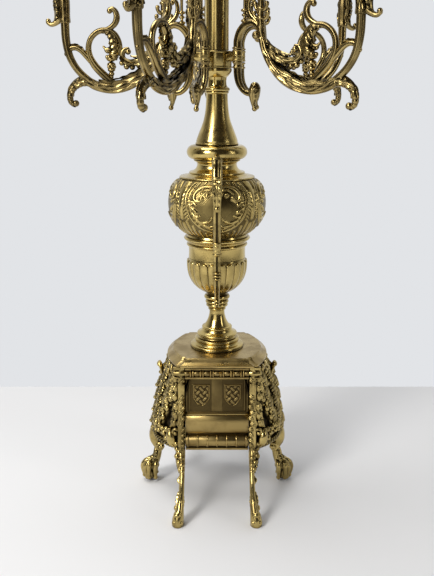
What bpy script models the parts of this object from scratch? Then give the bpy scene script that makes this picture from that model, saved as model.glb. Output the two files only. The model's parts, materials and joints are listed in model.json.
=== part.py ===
"""Tabletop candelabra in cast and turned brass: five swivelling arms round an urn-shaped stem.

Lengths are written in millimetres and turned into metres when a mesh is made.  The origin is on
the stem's axis at floor level, +Z is up, and -Y is the front with the plain face of the box.
A turned outline is a closed loop of (radius, height) points round the section of one piece.
"""
import math

import bpy
import bmesh
from mathutils import Matrix, Vector

MM = 0.001
GAP = 0.3

# Tie rod that clamps the whole stem, and the hole for it through every stem piece
ROD_R = 3.0
ROD_BORE_R = 3.4

# Box-shaped base
PLATE_BOTTOM_Z = 156.4
PLATE_TOP_Z = 165.0
PLATE_CORNER_X = 43.5
PLATE_HALF_DEPTH = 53.0
PLATE_BOW_X = 55.4
PLATE_NOTCH = 4.5
PLATE_FLARE = 7.0
BOX_HALF_WIDTH = 34.5
BOX_HALF_DEPTH = 50.0
BOX_BOTTOM_Z = 60.0
BOX_WALL = 14.0
CORNER_LEG_TOP_Z = 62.0
CENTRE_LEG_TOP_Z = 67.0

# Stem joints, from the top of the base upwards
BOWL_Z = 226.5
BAND_Z = 266.0
BULB_Z = 292.0
SPOOL_Z = 351.8
RING_Z = 371.3
VASE_Z = 386.3
HUB_Z = 463.3
TUBE_Z = 480.9
KNOP_Z = 604.0
CENTRE_PAN_Z = 640.0

# Arms
ARM_COUNT = 5
ARM_NAMES = ("front_left", "front_right", "right", "back", "left")
FIRST_ARM_DEG = -115.0
PIVOT_R = 28.0
REST_SWIVEL_DEG = {"front_right": 10.0}
BARREL_R = 5.0
BARREL_BORE_R = 3.85
PIN_R = 3.5
BARREL_BOTTOM_Z = 470.0
BARREL_TOP_Z = 481.0
OUTER_R = 158.5
PAN_Z = 552.0
SPIGOT_R = 3.0
SPIGOT_BORE_R = 3.4
SPIGOT_HEIGHT = 9.0

# Candle cup and drip pan, shared by the arms and the centre
PAN_R = 24.0
PAN_HUB_HEIGHT = 2.6
CUP_HEIGHT = 33.5
CANDLE_R = 11.2
CANDLE_FLOOR = 12.0

BRASS = (0.52, 0.36, 0.12, 1.0)
DARK_BRASS = (0.34, 0.23, 0.08, 1.0)
POLISHED_BRASS = (0.66, 0.47, 0.17, 1.0)
STEEL = (0.42, 0.41, 0.39, 1.0)


def clear_scene():
    for obj in list(bpy.data.objects):
        bpy.data.objects.remove(obj, do_unlink=True)


def make_material(name, colour, roughness):
    material = bpy.data.materials.new(name)
    material.use_nodes = True
    shader = material.node_tree.nodes["Principled BSDF"]
    shader.inputs["Base Color"].default_value = colour
    shader.inputs["Metallic"].default_value = 1.0
    shader.inputs["Roughness"].default_value = roughness
    return material


def add_object(name, mesh, look):
    """Link a mesh as an object with its own copy of the look (colour, roughness)."""
    obj = bpy.data.objects.new(name, mesh)
    bpy.context.scene.collection.objects.link(obj)
    obj.data.materials.clear()
    obj.data.materials.append(make_material(name + "_finish", *look))
    mesh.shade_smooth()
    mesh.set_sharp_from_angle(angle=math.radians(35))
    return obj


def mesh_from(bm, name):
    bmesh.ops.remove_doubles(bm, verts=bm.verts, dist=1e-7)
    bmesh.ops.recalc_face_normals(bm, faces=bm.faces)
    mesh = bpy.data.meshes.new(name)
    bm.to_mesh(mesh)
    bm.free()
    return mesh


def join_loops(bm, first, second):
    """Faces between two loops of the same length, where either may be a single point."""
    count = max(len(first), len(second))
    for i in range(count):
        j = (i + 1) % count
        corners = [first[i % len(first)], first[j % len(first)]]
        corners += [second[j % len(second)], second[i % len(second)]]
        face = []
        for corner in corners:
            if corner not in face:
                face.append(corner)
        bm.faces.new(face)


def turned(name, outline, sides, centre=(0.0, 0.0)):
    """Mesh of a closed outline of (radius, height) points turned about a vertical axis."""
    bm = bmesh.new()
    loops = []
    for radius, height in outline:
        count = sides if radius > 0 else 1
        loop = []
        for i in range(count):
            angle = 2 * math.pi * i / count
            x = centre[0] + radius * math.cos(angle)
            y = centre[1] + radius * math.sin(angle)
            loop.append(bm.verts.new((x * MM, y * MM, height * MM)))
        loops.append(loop)
    for i, loop in enumerate(loops):
        following = loops[(i + 1) % len(loops)]
        if len(loop) > 1 or len(following) > 1:
            join_loops(bm, loop, following)
    return mesh_from(bm, name)


def smooth_path(points, steps):
    """Catmull-Rom curve through points of any dimension, with a number of steps for each span."""
    dense = []
    last = len(points) - 1
    for k in range(last):
        before = points[max(k - 1, 0)]
        after = points[min(k + 2, last)]
        for step in range(steps):
            t = step / steps
            weights = (
                (-t + 2 * t ** 2 - t ** 3) / 2,
                (2 - 5 * t ** 2 + 3 * t ** 3) / 2,
                (t + 4 * t ** 2 - 3 * t ** 3) / 2,
                (-t ** 2 + t ** 3) / 2,
            )
            quad = (before, points[k], points[k + 1], after)
            dense.append([sum(w * p[i] for w, p in zip(weights, quad)) for i in range(len(points[0]))])
    dense.append(list(points[last]))
    return dense


def swept(name, stations, side, sides=6, steps=2, level_ends=False):
    """Closed bar along a curve.

    Each station is (x, y, z, half width along the side vector, half thickness across it).
    Four sides give a bar of rectangular section, and more give an oval one.  Level ends are cut
    off horizontally, whichever way the bar leaves them.
    """
    dense = smooth_path(stations, steps)
    side = Vector(side)
    turn = math.pi / 4 if sides == 4 else 0.0
    stretch = math.sqrt(2) if sides == 4 else 1.0
    bm = bmesh.new()
    loops = []
    for k, station in enumerate(dense):
        here = Vector(station[:3])
        ahead = Vector(dense[min(k + 1, len(dense) - 1)][:3])
        behind = Vector(dense[max(k - 1, 0)][:3])
        along = ahead - behind
        if level_ends and k in (0, len(dense) - 1):
            along = Vector((0, 0, along.z))
        across = along.cross(side).normalized()
        loop = []
        for i in range(sides):
            angle = turn + 2 * math.pi * i / sides
            along_side = side * (station[3] * stretch * math.cos(angle))
            outward = across * (station[4] * stretch * math.sin(angle))
            loop.append(bm.verts.new((here + along_side + outward) * MM))
        loops.append(loop)
    for loop, following in zip(loops, loops[1:]):
        join_loops(bm, loop, following)
    bm.faces.new(loops[0])
    bm.faces.new(loops[-1])
    return mesh_from(bm, name)


def extruded(name, outline, low, high, place):
    """Solid between two levels, where place turns (a, b, level) into a point in millimetres."""
    bm = bmesh.new()
    ends = []
    for level in (low, high):
        ends.append([bm.verts.new(Vector(place(a, b, level)) * MM) for a, b in outline])
    join_loops(bm, ends[0], ends[1])
    bm.faces.new(ends[0])
    bm.faces.new(ends[1])
    return mesh_from(bm, name)


def combined(name, first, others, operation="UNION"):
    """One mesh made of the first with each of the others added to it or cut from it."""
    base = bpy.data.objects.new(name + "_base", first)
    bpy.context.scene.collection.objects.link(base)
    tools = []
    for i, mesh in enumerate(others):
        tool = bpy.data.objects.new(f"{name}_tool_{i}", mesh)
        bpy.context.scene.collection.objects.link(tool)
        modifier = base.modifiers.new(f"step_{i}", "BOOLEAN")
        modifier.operation = operation
        modifier.object = tool
        tools.append(tool)
    graph = bpy.context.evaluated_depsgraph_get()
    result = bpy.data.meshes.new_from_object(base.evaluated_get(graph))
    for obj in [base] + tools:
        bpy.data.objects.remove(obj, do_unlink=True)
    bm = bmesh.new()
    bm.from_mesh(result)
    bmesh.ops.dissolve_degenerate(bm, dist=1e-6, edges=bm.edges)
    bmesh.ops.triangulate(bm, faces=bm.faces)
    bm.to_mesh(result)
    bm.free()
    result.name = name
    return result


def disc(name, radius, low, high, sides, centre=(0.0, 0.0)):
    return turned(name, [(0, low), (radius, low), (radius, high), (0, high)], sides, centre)


# ---------------------------------------------------------------- base

def plate_outline(inset):
    """Plan of the top plate: straight front and back, notched corners and bowed sides."""
    depth = PLATE_HALF_DEPTH - inset
    corner_x = PLATE_CORNER_X - inset
    bow = PLATE_BOW_X - inset - corner_x
    quarter = [(corner_x - PLATE_NOTCH, depth)]
    for turn in (30, 60, 90):
        angle = math.radians(turn)
        x = corner_x - PLATE_NOTCH * math.cos(angle)
        y = depth - PLATE_NOTCH * math.sin(angle)
        quarter.append((x, y))
    side_y = depth - PLATE_NOTCH
    for share in (0.75, 0.5, 0.25):
        quarter.append((corner_x + bow * (1 - share ** 2), side_y * share))
    middle = [(corner_x + bow, 0.0)]
    right = quarter + middle + [(x, -y) for x, y in reversed(quarter)]
    return right + [(-x, y) for x, y in reversed(right)]


def build_top_plate():
    levels = [
        (PLATE_BOTTOM_Z, 0.0),
        (PLATE_BOTTOM_Z + 2.0, 0.0),
        (PLATE_BOTTOM_Z + 4.4, 0.55 * PLATE_FLARE),
        (PLATE_TOP_Z, PLATE_FLARE),
    ]
    bm = bmesh.new()
    loops = []
    for z, inset in levels:
        loops.append([bm.verts.new((x * MM, y * MM, z * MM)) for x, y in plate_outline(inset)])
    for loop, following in zip(loops, loops[1:]):
        join_loops(bm, loop, following)
    bm.faces.new(loops[0])
    bm.faces.new(loops[-1])
    hole = disc("rod_hole", ROD_BORE_R, PLATE_BOTTOM_Z - 5, PLATE_TOP_Z + 5, 12)
    mesh = combined("top_plate", mesh_from(bm, "plate_blank"), [hole], "DIFFERENCE")
    add_object("top_plate", mesh, (DARK_BRASS, 0.45))


def build_box_plates():
    """Front and back plates: beaded band, recessed panel, swelling lower panel and ribbed foot."""
    face = BOX_HALF_DEPTH
    back = face - BOX_WALL
    swell = [(face - 6.5 + 4.0 * math.sin(math.radians(a)), 88.3 - 11.3 * math.cos(math.radians(a)))
             for a in range(0, 181, 45)]
    section = [(back, BOX_BOTTOM_Z), (face - 1, BOX_BOTTOM_Z), (face, 63.0), (face, 72.0), (face - 3, 76.6)]
    section += swell
    section += [(face - 8, 100.4), (face - 8, 142.0), (face - 1, 142.6), (face, 145.0), (face, 153.0)]
    section += [(face - 1.5, PLATE_BOTTOM_Z - GAP), (back, PLATE_BOTTOM_Z - GAP)]
    width = BOX_HALF_WIDTH - GAP
    for name, sign in (("front_plate", -1), ("back_plate", 1)):
        mesh = extruded(name, section, -width, width, lambda y, z, x, s=sign: (x, s * y, z))
        add_object(name, mesh, (DARK_BRASS, 0.4))


def build_side_casting(name, sign):
    """Bowed casting: a leafy panel with a centre rib, slits beside it, posts, rail and apron."""
    half = BOX_HALF_DEPTH
    inner = BOX_HALF_WIDTH

    def bowed(end_x, middle_x, z_end, z_middle, width, thickness):
        stations = []
        for share in (-1.0, -0.75, -0.4, 0.0, 0.4, 0.75, 1.0):
            bulge = math.cos(share * math.pi / 2)
            x = end_x + (middle_x - end_x) * bulge
            z = z_end + (z_middle - z_end) * bulge
            stations.append((sign * x, share * (half - 1.0), z, width, thickness))
        return stations

    rail = swept("rail", bowed(40.5, 49.3, 148.6, 148.6, 7.2, 4.6), (0, 0, 1), 4, 1)
    apron = swept("apron", bowed(39.8, 69.5, 67.5, 72.5, 5.0, 4.2), (0, 0, 1), 4, 1)
    strip_line = [(55.5, 155.0, 9, 5), (58.5, 140, 9, 6), (62.6, 115, 10, 6.5),
                  (66.3, 92, 11, 6.5), (69.3, CENTRE_LEG_TOP_Z, 9.5, 6)]
    strip = swept("strip", [(sign * x, 0, z, w, t) for x, z, w, t in strip_line], (0, 1, 0), 6, 1, True)
    panel_line = [(sign * (41 + 22 * math.cos(math.pi * y / (2 * half))), y, 110, 39, 2.5)
                  for y in (-31, -21, -11, 0, 11, 21, 31)]
    panel = swept("panel", panel_line, Vector((-0.22 * sign, 0, 1)).normalized(), 4, 1)
    pieces = [apron, strip, panel]
    for end in (-1, 1):
        post = [(sign * (inner + 6.0), end * (half - 5.5), PLATE_BOTTOM_Z - GAP, 6.0, 5.5),
                (sign * (inner + 5.5), end * (half - 6.0), 120.0, 5.5, 6.0),
                (sign * (inner + 5.0), end * (half - 6.5), 90.0, 5.0, 6.5),
                (sign * (inner + 4.5), end * (half - 6.5), CORNER_LEG_TOP_Z, 4.5, 6.5)]
        pieces.append(swept("post", post, (1, 0, 0), 4, 1, True))
    add_object(name, combined(name, rail, pieces), (BRASS, 0.35))


def build_corner_leg(name, side_sign, end_sign):
    """Leg with a flat inner side, a ringed shank and an animal foot, in front of the box corner."""
    line = [(44.0, CORNER_LEG_TOP_Z - GAP, 4.5, 6.0), (48.0, 55.0, 4.3, 5.0), (57.0, 47.5, 3.4, 3.8),
            (68.0, 41.0, 2.8, 3.3), (79.0, 34.5, 2.8, 3.3), (88.0, 27.0, 3.2, 4.2),
            (96.0, 19.0, 5.6, 6.5), (99.5, 9.0, 6.6, 9.0), (100.0, 0.0, 6.4, 8.8)]
    stations = []
    for y, z, width, thickness in line:
        x = side_sign * (BOX_HALF_WIDTH + GAP + width)
        stations.append((x, end_sign * y, z, width, thickness))
    add_object(name, swept(name, stations, (1, 0, 0), 6, 2, True), (BRASS, 0.35))


def build_centre_leg(name, sign):
    """Side leg with a smooth knee and a claw-and-ball foot."""
    line = [(69.0, CENTRE_LEG_TOP_Z - GAP, 9, 6.2), (70.5, 58, 9, 7), (69.8, 49, 8, 6.3), (67.8, 41, 6, 4.8),
            (68.0, 33, 5, 4.5), (72.0, 25.5, 6.5, 6.5), (76.6, 17, 8.6, 9.4), (77.6, 8, 9.6, 10.2),
            (77.6, 0, 7.0, 7.6)]
    stations = [(sign * x, 0, z, width, thickness) for x, z, width, thickness in line]
    add_object(name, swept(name, stations, (0, 1, 0), 8, 2, True), (BRASS, 0.3))


def build_base():
    build_top_plate()
    build_box_plates()
    for side, sign in (("left", -1), ("right", 1)):
        build_side_casting(side + "_side_casting", sign)
        build_centre_leg("leg_" + side, sign)
        for end, end_sign in (("front", -1), ("back", 1)):
            build_corner_leg(f"leg_{end}_{side}", sign, end_sign)


# ---------------------------------------------------------------- stem

def build_tie_rod():
    top = TUBE_Z + 9.0
    bottom = PLATE_BOTTOM_Z - 12.0
    rod = [(0, bottom), (ROD_R, bottom), (ROD_R, top), (0, top)]
    add_object("tie_rod", turned("tie_rod", rod, 12), (STEEL, 0.4))
    washer_top = PLATE_BOTTOM_Z - GAP
    washer = [(ROD_BORE_R, washer_top - 1.8), (10, washer_top - 1.8), (10, washer_top), (ROD_BORE_R, washer_top)]
    add_object("rod_washer", turned("rod_washer", washer, 16), (STEEL, 0.4))
    nut_top = washer_top - 1.8 - GAP
    blank = disc("nut_blank", 6.0, nut_top - 5, nut_top, 6)
    hole = disc("nut_hole", ROD_BORE_R, nut_top - 7, nut_top + 2, 12)
    add_object("rod_nut", combined("rod_nut", blank, [hole], "DIFFERENCE"), (STEEL, 0.4))


def bored(outline, bore=ROD_BORE_R):
    """Close a turned outline, listed from its lowest point up, on the bore through its middle."""
    return [(bore, outline[0][1])] + outline + [(bore, outline[-1][1])]


def shell(outline, wall, neck):
    """Hollow turned piece: the outline upwards, then back down inside at the wall's distance."""
    inside = [(radius - wall, height) for radius, height in reversed(outline[1:-1])]
    top = (max(outline[-1][0] - wall, neck), outline[-1][1])
    bottom = (neck, outline[0][1])
    return [bottom] + outline + [top] + inside


def build_stem():
    foot = [(29.3, PLATE_TOP_Z + GAP), (29.3, 168), (25.5, 172.3), (22.3, 176.4), (22.3, 181), (16.5, 186),
            (13.5, 190.5), (8.8, 200), (8.3, 205), (11.8, 210.5), (12.4, 214.5), (13.9, 218.5),
            (13.9, 222), (11, BOWL_Z - GAP)]
    add_object("stem_foot", turned("stem_foot", bored(foot), 24), (BRASS, 0.25))

    bowl = [(11, BOWL_Z), (18, 230), (26, 238), (30.5, 246.5), (33, 258), (33, 263), (31.3, BAND_Z - GAP)]
    bowl_outline = [(ROD_BORE_R, BOWL_Z)] + bowl + [(28.5, BAND_Z - GAP), (29, 257), (25, 244), (ROD_BORE_R, 234)]
    add_object("fluted_bowl", turned("fluted_bowl", bowl_outline, 24), (BRASS, 0.3))

    band = [(31, BAND_Z), (31, 279), (34.8, 284.5), (35.3, 288.5), (33.5, BULB_Z - GAP)]
    band_outline = band + [(ROD_BORE_R, BULB_Z - GAP), (ROD_BORE_R, 287), (28, 284), (28, BAND_Z)]
    add_object("bowl_collar", turned("bowl_collar", band_outline, 24), (POLISHED_BRASS, 0.22))

    bulb = [(33, BULB_Z), (38.5, 295), (46, 303.5), (51.5, 315), (53.4, 328), (51, 341), (40.4, SPOOL_Z - GAP)]
    add_object("embossed_bulb", turned("embossed_bulb", shell(bulb, 3.0, ROD_BORE_R), 24), (BRASS, 0.4))

    spool = [(40, SPOOL_Z), (30, 355.5), (23, 360.5), (21.1, 365.5), (25.7, RING_Z - GAP)]
    add_object("shoulder_spool", turned("shoulder_spool", bored(spool), 24), (POLISHED_BRASS, 0.25))

    centre = (RING_Z + VASE_Z - GAP) / 2
    half = (VASE_Z - GAP - RING_Z) / 2
    ring = [(32 - half + half * math.cos(math.radians(a)), centre + half * math.sin(math.radians(a)))
            for a in range(-90, 91, 30)]
    add_object("shoulder_ring", turned("shoulder_ring", bored(ring), 24), (POLISHED_BRASS, 0.25))

    vase = [(22.4, VASE_Z), (22, 391), (19, 398), (14.1, 411), (11.8, 425), (11.2, 438), (13.9, 442),
            (13.5, 445), (10.3, 448.5), (10.3, 455), (15.7, 461), (15.7, HUB_Z - GAP)]
    add_object("upper_vase", turned("upper_vase", bored(vase), 20), (POLISHED_BRASS, 0.25))


def arm_angle(index):
    return math.radians(FIRST_ARM_DEG + 360.0 / ARM_COUNT * index)


def build_hub():
    """Collar with five vertical barrels that the arm pins turn in."""
    collar = turned("collar", bored([(14.5, HUB_Z), (15.5, 466), (15.5, TUBE_Z - GAP)]), 20)
    additions = []
    barrel = [(BARREL_BORE_R, BARREL_BOTTOM_Z), (BARREL_R, BARREL_BOTTOM_Z), (BARREL_R, BARREL_TOP_Z),
              (BARREL_BORE_R, BARREL_TOP_Z)]
    web_line = [(13.5, 0, 475.0, 2.5, 4.0), (PIVOT_R - (BARREL_R + BARREL_BORE_R) / 2, 0, 475.0, 2.5, 4.0)]
    for index in range(ARM_COUNT):
        turn = Matrix.Rotation(arm_angle(index), 4, "Z")
        for mesh in (swept("web", web_line, (0, 1, 0), 4, 1), turned("barrel", barrel, 12, (PIVOT_R, 0))):
            mesh.transform(turn)
            additions.append(mesh)
    add_object("arm_hub", combined("arm_hub", collar, additions), (BRASS, 0.35))


def build_centre():
    """Polished tube above the hub, with the knop, pan and cup of the middle candle."""
    wall = 1.6
    tube = [(12, TUBE_Z), (12, KNOP_Z - GAP), (12 - wall, KNOP_Z - GAP), (12 - wall, TUBE_Z)]
    add_object("centre_tube", turned("centre_tube", tube, 20), (POLISHED_BRASS, 0.18))
    knop = [(0, KNOP_Z), (14.5, KNOP_Z), (14.5, 608), (9, 611.5), (12, 616.5), (16.5, 621), (16.5, 625),
            (10, 630), (6.5, 634.5), (9, CENTRE_PAN_Z - GAP), (SPIGOT_R, CENTRE_PAN_Z - GAP),
            (SPIGOT_R, CENTRE_PAN_Z + SPIGOT_HEIGHT), (0, CENTRE_PAN_Z + SPIGOT_HEIGHT)]
    add_object("centre_knop", turned("centre_knop", knop, 20), (BRASS, 0.3))
    for name, mesh, z in (("centre_drip_pan", pan_mesh("centre_drip_pan"), CENTRE_PAN_Z),
                          ("centre_candle_cup", cup_mesh("centre_candle_cup"), CENTRE_PAN_Z + PAN_HUB_HEIGHT + GAP)):
        add_object(name, mesh, (POLISHED_BRASS, 0.25)).location.z = z * MM


def build_handle(name, sign):
    """Cast urn handle from the shoulder spool over the bulb and down to the stem's knop."""
    line = [(27.0, 365.0, 3.2, 2.6), (32.0, 368.0, 3.4, 2.8), (42.0, 373.0, 3.8, 3.2), (53.0, 372.0, 4.2, 3.6),
            (60.5, 361.0, 4.2, 3.6), (62.5, 343.0, 3.8, 3.2), (61.5, 322.0, 3.8, 3.2), (57.5, 304.0, 3.6, 3.0),
            (47.5, 291.5, 4.2, 3.4), (41.5, 283.0, 4.2, 3.2), (38.5, 272.0, 3.4, 2.8), (38.8, 258.0, 3.8, 2.8),
            (33.5, 243.0, 3.2, 2.6), (25.5, 231.5, 3.0, 2.6), (19.5, 222.0, 3.0, 2.4), (17.6, 214.0, 3.0, 2.4)]
    stations = [(0, sign * y, z, width, thickness) for y, z, width, thickness in line]
    add_object(name, swept(name, stations, (1, 0, 0), 6, 1), (BRASS, 0.4))


# ---------------------------------------------------------------- candle holders

def pan_mesh(name):
    """Drip pan with its flat hub at height 0, the rim raised, and a hole for the spigot."""
    hub = PAN_HUB_HEIGHT
    outline = [(SPIGOT_BORE_R, 0), (8, 0), (17, 2.4), (PAN_R - 1, 7.0), (PAN_R, 8.4), (17, 4.6), (8, hub),
               (SPIGOT_BORE_R, hub)]
    return turned(name, outline, 12)


def cup_mesh(name):
    """Vase-shaped candle cup, with the candle seat above the hole for the spigot."""
    outline = [(SPIGOT_BORE_R, 0), (7.5, 0), (5.6, 3), (6, 6), (11.5, 10.5), (14, 16), (13.2, 27), (16, 31.5),
               (16, CUP_HEIGHT), (CANDLE_R, CUP_HEIGHT), (CANDLE_R, CANDLE_FLOOR), (SPIGOT_BORE_R, CANDLE_FLOOR)]
    return turned(name, outline, 12)


# ---------------------------------------------------------------- arms

def arm_bar(name, line, sides, steps=2):
    """Bar in the arm's own upright plane, from (distance from the stem, height, half thickness)."""
    stations = [(r - PIVOT_R, 0, z, t, t) for r, z, t in line]
    return swept(name, stations, (0, 1, 0), sides, steps)


def arm_mesh():
    """One arm casting about its pin: U-shaped bar with scrolls, a hanging leaf and a cup spigot."""
    u_bar = arm_bar("u_bar", [(54.5, 556, 3.2), (54.3, 505, 4.2), (57.3, 487, 4.5), (66, 470, 4.8),
                              (79, 456, 5.4), (95, 447, 5.9), (112, 443.6, 5.6), (130, 447.8, 4.8),
                              (145, 459.5, 4.4), (154.5, 474, 4.4), (158.3, 491, 4.6), (OUTER_R, 534, 5.0)], 6, 1)
    top = PAN_Z - GAP
    holder = turned("holder", [(0, 530), (4.6, 530), (4.6, 539), (7.5, 542.5), (4.8, 547), (7, top),
                               (SPIGOT_R, top), (SPIGOT_R, PAN_Z + SPIGOT_HEIGHT), (0, PAN_Z + SPIGOT_HEIGHT)],
                    8, (OUTER_R - PIVOT_R, 0))
    pin_line = [(0, BARREL_BOTTOM_Z), (PIN_R, BARREL_BOTTOM_Z), (PIN_R, BARREL_TOP_Z + GAP),
                (BARREL_R, BARREL_TOP_Z + GAP), (BARREL_R, 484.5), (3.4, 487), (0, 487)]
    pin = turned("pin", pin_line, 8)
    bracket = arm_bar("bracket", [(28, 484, 3.4), (28.3, 492, 3.4), (32, 499.5, 3.3), (39, 504.5, 3.2),
                                  (47, 505, 3.2), (54, 500.5, 3.0)], 5, 1)
    finial = turned("finial", [(0, 500), (2.2, 500), (2.2, 509), (3.8, 512), (2.0, 516), (2.6, 531), (0, 538)],
                    5, (36.0 - PIVOT_R, 0))
    spiral = arm_bar("spiral", [(109, 446, 4.2), (119, 456.5, 4.2), (130, 469.0, 3.9), (134.6, 482, 3.2),
                                (131, 493.5, 3.1), (121, 501, 3.2), (110, 499.6, 4.4), (104, 491.5, 5.8),
                                (104.4, 482, 5.8), (108, 474, 4.2)], 5, 1)
    beads = turned("beads", [(0, 478), (5.2, 474), (4.9, 463), (2.8, 457), (1.8, 452), (1.8, 444), (0, 444)],
                   5, (111.0 - PIVOT_R, 0))
    crest = arm_bar("crest", [(115, 500.5, 2.6), (106, 506.5, 3.2), (103.4, 514, 3.4), (105.4, 520.6, 3.0),
                              (110.5, 520.5, 3.0)], 5, 1)
    link = arm_bar("link", [(156.5, 480.5, 2.8), (150, 484, 3.0), (143.5, 482, 3.0), (130, 467.5, 3.0)], 5, 1)
    tail = arm_bar("tail", [(131, 448.5, 3.9), (143, 448.8, 3.9), (152.5, 444.3, 3.8), (157.3, 436, 3.6),
                            (154.0, 427, 3.4)], 5, 1)
    branch = arm_bar("branch", [(60.5, 480, 3.6), (71, 474, 4.0), (82, 469.8, 4.0), (92.0, 468.2, 4.0),
                                (97.6, 473, 3.2), (94.6, 480.5, 3.2)], 5, 1)
    leaf = arm_bar("leaf", [(OUTER_R + 1, 540, 4.5), (166, 531, 6.0), (168, 518, 5.0), (171, 508.5, 3.4),
                            (176.5, 508.5, 2.6)], 5, 1)
    top_scroll = arm_bar("top_scroll", [(54.5, 552, 3.2), (56, 561, 3.0), (62.5, 564.5, 2.8),
                                        (66, 558.5, 3.0)], 5, 1)
    pieces = [holder, bracket, pin, finial, tail, link, spiral, beads, crest, branch, leaf, top_scroll]
    return combined("arm", u_bar, pieces)


def pendant_mesh():
    """Leafed drop screwed to the pin under the barrel."""
    top = BARREL_BOTTOM_Z - GAP
    collar = turned("collar", [(0, 463), (4.6, 463), (5.2, 465), (5.2, top), (0, top)], 8)
    stalk = arm_bar("stalk", [(28, 465, 3.6), (28.6, 454, 3.5), (31.8, 446, 3.3), (37.5, 441.5, 4.0),
                              (44.6, 438.5, 5.0), (47.4, 431, 4.2), (47.6, 424, 3.2)], 5, 1)
    return combined("pendant", collar, [stalk])


def build_arms():
    pendant = pendant_mesh()
    arm = arm_mesh()
    pan = pan_mesh("drip_pan")
    cup = cup_mesh("candle_cup")
    pan_place = (OUTER_R - PIVOT_R, PAN_Z)
    cup_place = (OUTER_R - PIVOT_R, PAN_Z + PAN_HUB_HEIGHT + GAP)
    for index, name in enumerate(ARM_NAMES):
        angle = arm_angle(index)
        swivel = bpy.data.objects.new("swivel_" + name, None)
        bpy.context.scene.collection.objects.link(swivel)
        swivel.location = (PIVOT_R * math.cos(angle) * MM, PIVOT_R * math.sin(angle) * MM, 0)
        swivel.rotation_euler.z = angle + math.radians(REST_SWIVEL_DEG.get(name, 0.0))
        for prefix, mesh, place, look in (("arm", arm, (0, 0), (BRASS, 0.35)),
                                          ("pendant", pendant, (0, 0), (BRASS, 0.4)),
                                          ("drip_pan", pan, pan_place, (POLISHED_BRASS, 0.25)),
                                          ("candle_cup", cup, cup_place, (POLISHED_BRASS, 0.25))):
            obj = add_object(f"{prefix}_{name}", mesh.copy(), look)
            obj.parent = swivel
            obj.location = (place[0] * MM, 0, place[1] * MM)


def main():
    clear_scene()
    build_base()
    build_tie_rod()
    build_stem()
    build_hub()
    build_centre()
    for name, sign in (("handle_front", -1), ("handle_back", 1)):
        build_handle(name, sign)
    build_arms()


main()
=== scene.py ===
"""Looks of the tabletop candelabra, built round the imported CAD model.

Lengths are in millimetres and become metres when a piece is made.  Turned pieces count heights from
their CAD node's own box, and cast ones from the floor.  Every piece is one or more closed shells and
replaces one CAD node, but the rod, its washer and its nut are shown by the CAD's own meshes.
"""
import json
import math

import bmesh
import bpy
import numpy as np
from mathutils import Matrix, Vector


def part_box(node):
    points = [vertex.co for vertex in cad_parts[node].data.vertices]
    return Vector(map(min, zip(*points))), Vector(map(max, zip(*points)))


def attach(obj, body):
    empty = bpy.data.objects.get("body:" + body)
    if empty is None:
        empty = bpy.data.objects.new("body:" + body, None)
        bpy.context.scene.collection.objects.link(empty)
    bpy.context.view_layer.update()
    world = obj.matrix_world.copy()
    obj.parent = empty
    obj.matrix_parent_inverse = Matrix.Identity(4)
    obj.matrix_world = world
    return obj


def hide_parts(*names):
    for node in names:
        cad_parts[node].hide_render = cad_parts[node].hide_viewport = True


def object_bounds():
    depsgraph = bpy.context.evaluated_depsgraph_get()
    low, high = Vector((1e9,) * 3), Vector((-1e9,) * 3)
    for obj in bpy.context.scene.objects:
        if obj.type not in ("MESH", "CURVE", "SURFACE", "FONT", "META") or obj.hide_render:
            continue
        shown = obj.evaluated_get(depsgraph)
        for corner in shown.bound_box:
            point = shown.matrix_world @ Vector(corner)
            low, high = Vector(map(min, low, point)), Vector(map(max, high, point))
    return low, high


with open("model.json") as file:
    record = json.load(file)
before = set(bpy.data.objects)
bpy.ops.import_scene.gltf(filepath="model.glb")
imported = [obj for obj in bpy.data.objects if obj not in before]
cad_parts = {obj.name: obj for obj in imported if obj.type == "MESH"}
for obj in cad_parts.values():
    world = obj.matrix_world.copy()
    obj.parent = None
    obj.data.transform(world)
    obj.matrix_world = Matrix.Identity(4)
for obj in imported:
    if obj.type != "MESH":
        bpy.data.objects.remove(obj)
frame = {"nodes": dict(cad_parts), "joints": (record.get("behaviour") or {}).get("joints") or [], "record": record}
cad_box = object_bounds()

MM = 0.001
TAU = 2 * math.pi
BODY_OF = {node: body for body, nodes in frame["record"]["behaviour"]["bodies"].items() for node in nodes}


def low_z(node):
    """Height of the lowest point of a CAD piece, in millimetres."""
    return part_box(node)[0].z / MM


def high_z(node):
    """Height of the highest point of a CAD piece, in millimetres."""
    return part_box(node)[1].z / MM


def height_of(node):
    """Height of a CAD piece from its lowest to its highest point, in millimetres."""
    return high_z(node) - low_z(node)


# ---------------------------------------------------------------- mesh building

class Shape:
    """Closed shells gathered into one mesh, with a relief value for each point: -1 deep, 1 high; the material
    paints low values darker, as patina and painted shade, and high ones brighter, as wear and painted highlight.
    """

    def __init__(self):
        self.points = []
        self.relief = []
        self.faces = []
        self.count = 0

    def add(self, points, faces, relief=0.0):
        """Add a shell."""
        points = np.asarray(points, float).reshape(-1, 3)
        self.points.append(points)
        self.relief.append(np.broadcast_to(np.asarray(relief, float).reshape(-1), len(points)))
        self.faces += [[self.count + int(i) for i in face] for face in faces]
        self.count += len(points)

    def shade_last(self, value):
        """Give the shell added last one relief value all over."""
        self.relief[-1] = np.full(len(self.points[-1]), value)

    def merge(self, other, matrix):
        """Add the shells of another shape, moved by a matrix."""
        points = np.vstack(other.points) @ np.array(matrix.to_3x3()).T + np.array(matrix.translation)
        self.add(points, other.faces, np.concatenate(other.relief))


def grid_faces(rows, columns, wrap_rows=False, wrap_columns=True):
    """Quads over a grid of points, closed round the rows or columns if asked."""
    r, c = np.meshgrid(np.arange(rows - (not wrap_rows)), np.arange(columns - (not wrap_columns)),
                       indexing="ij")
    r2, c2 = (r + 1) % rows, (c + 1) % columns
    quads = np.stack([r * columns + c, r * columns + c2, r2 * columns + c2, r2 * columns + c], axis=-1)
    return quads.reshape(-1, 4).tolist()


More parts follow.
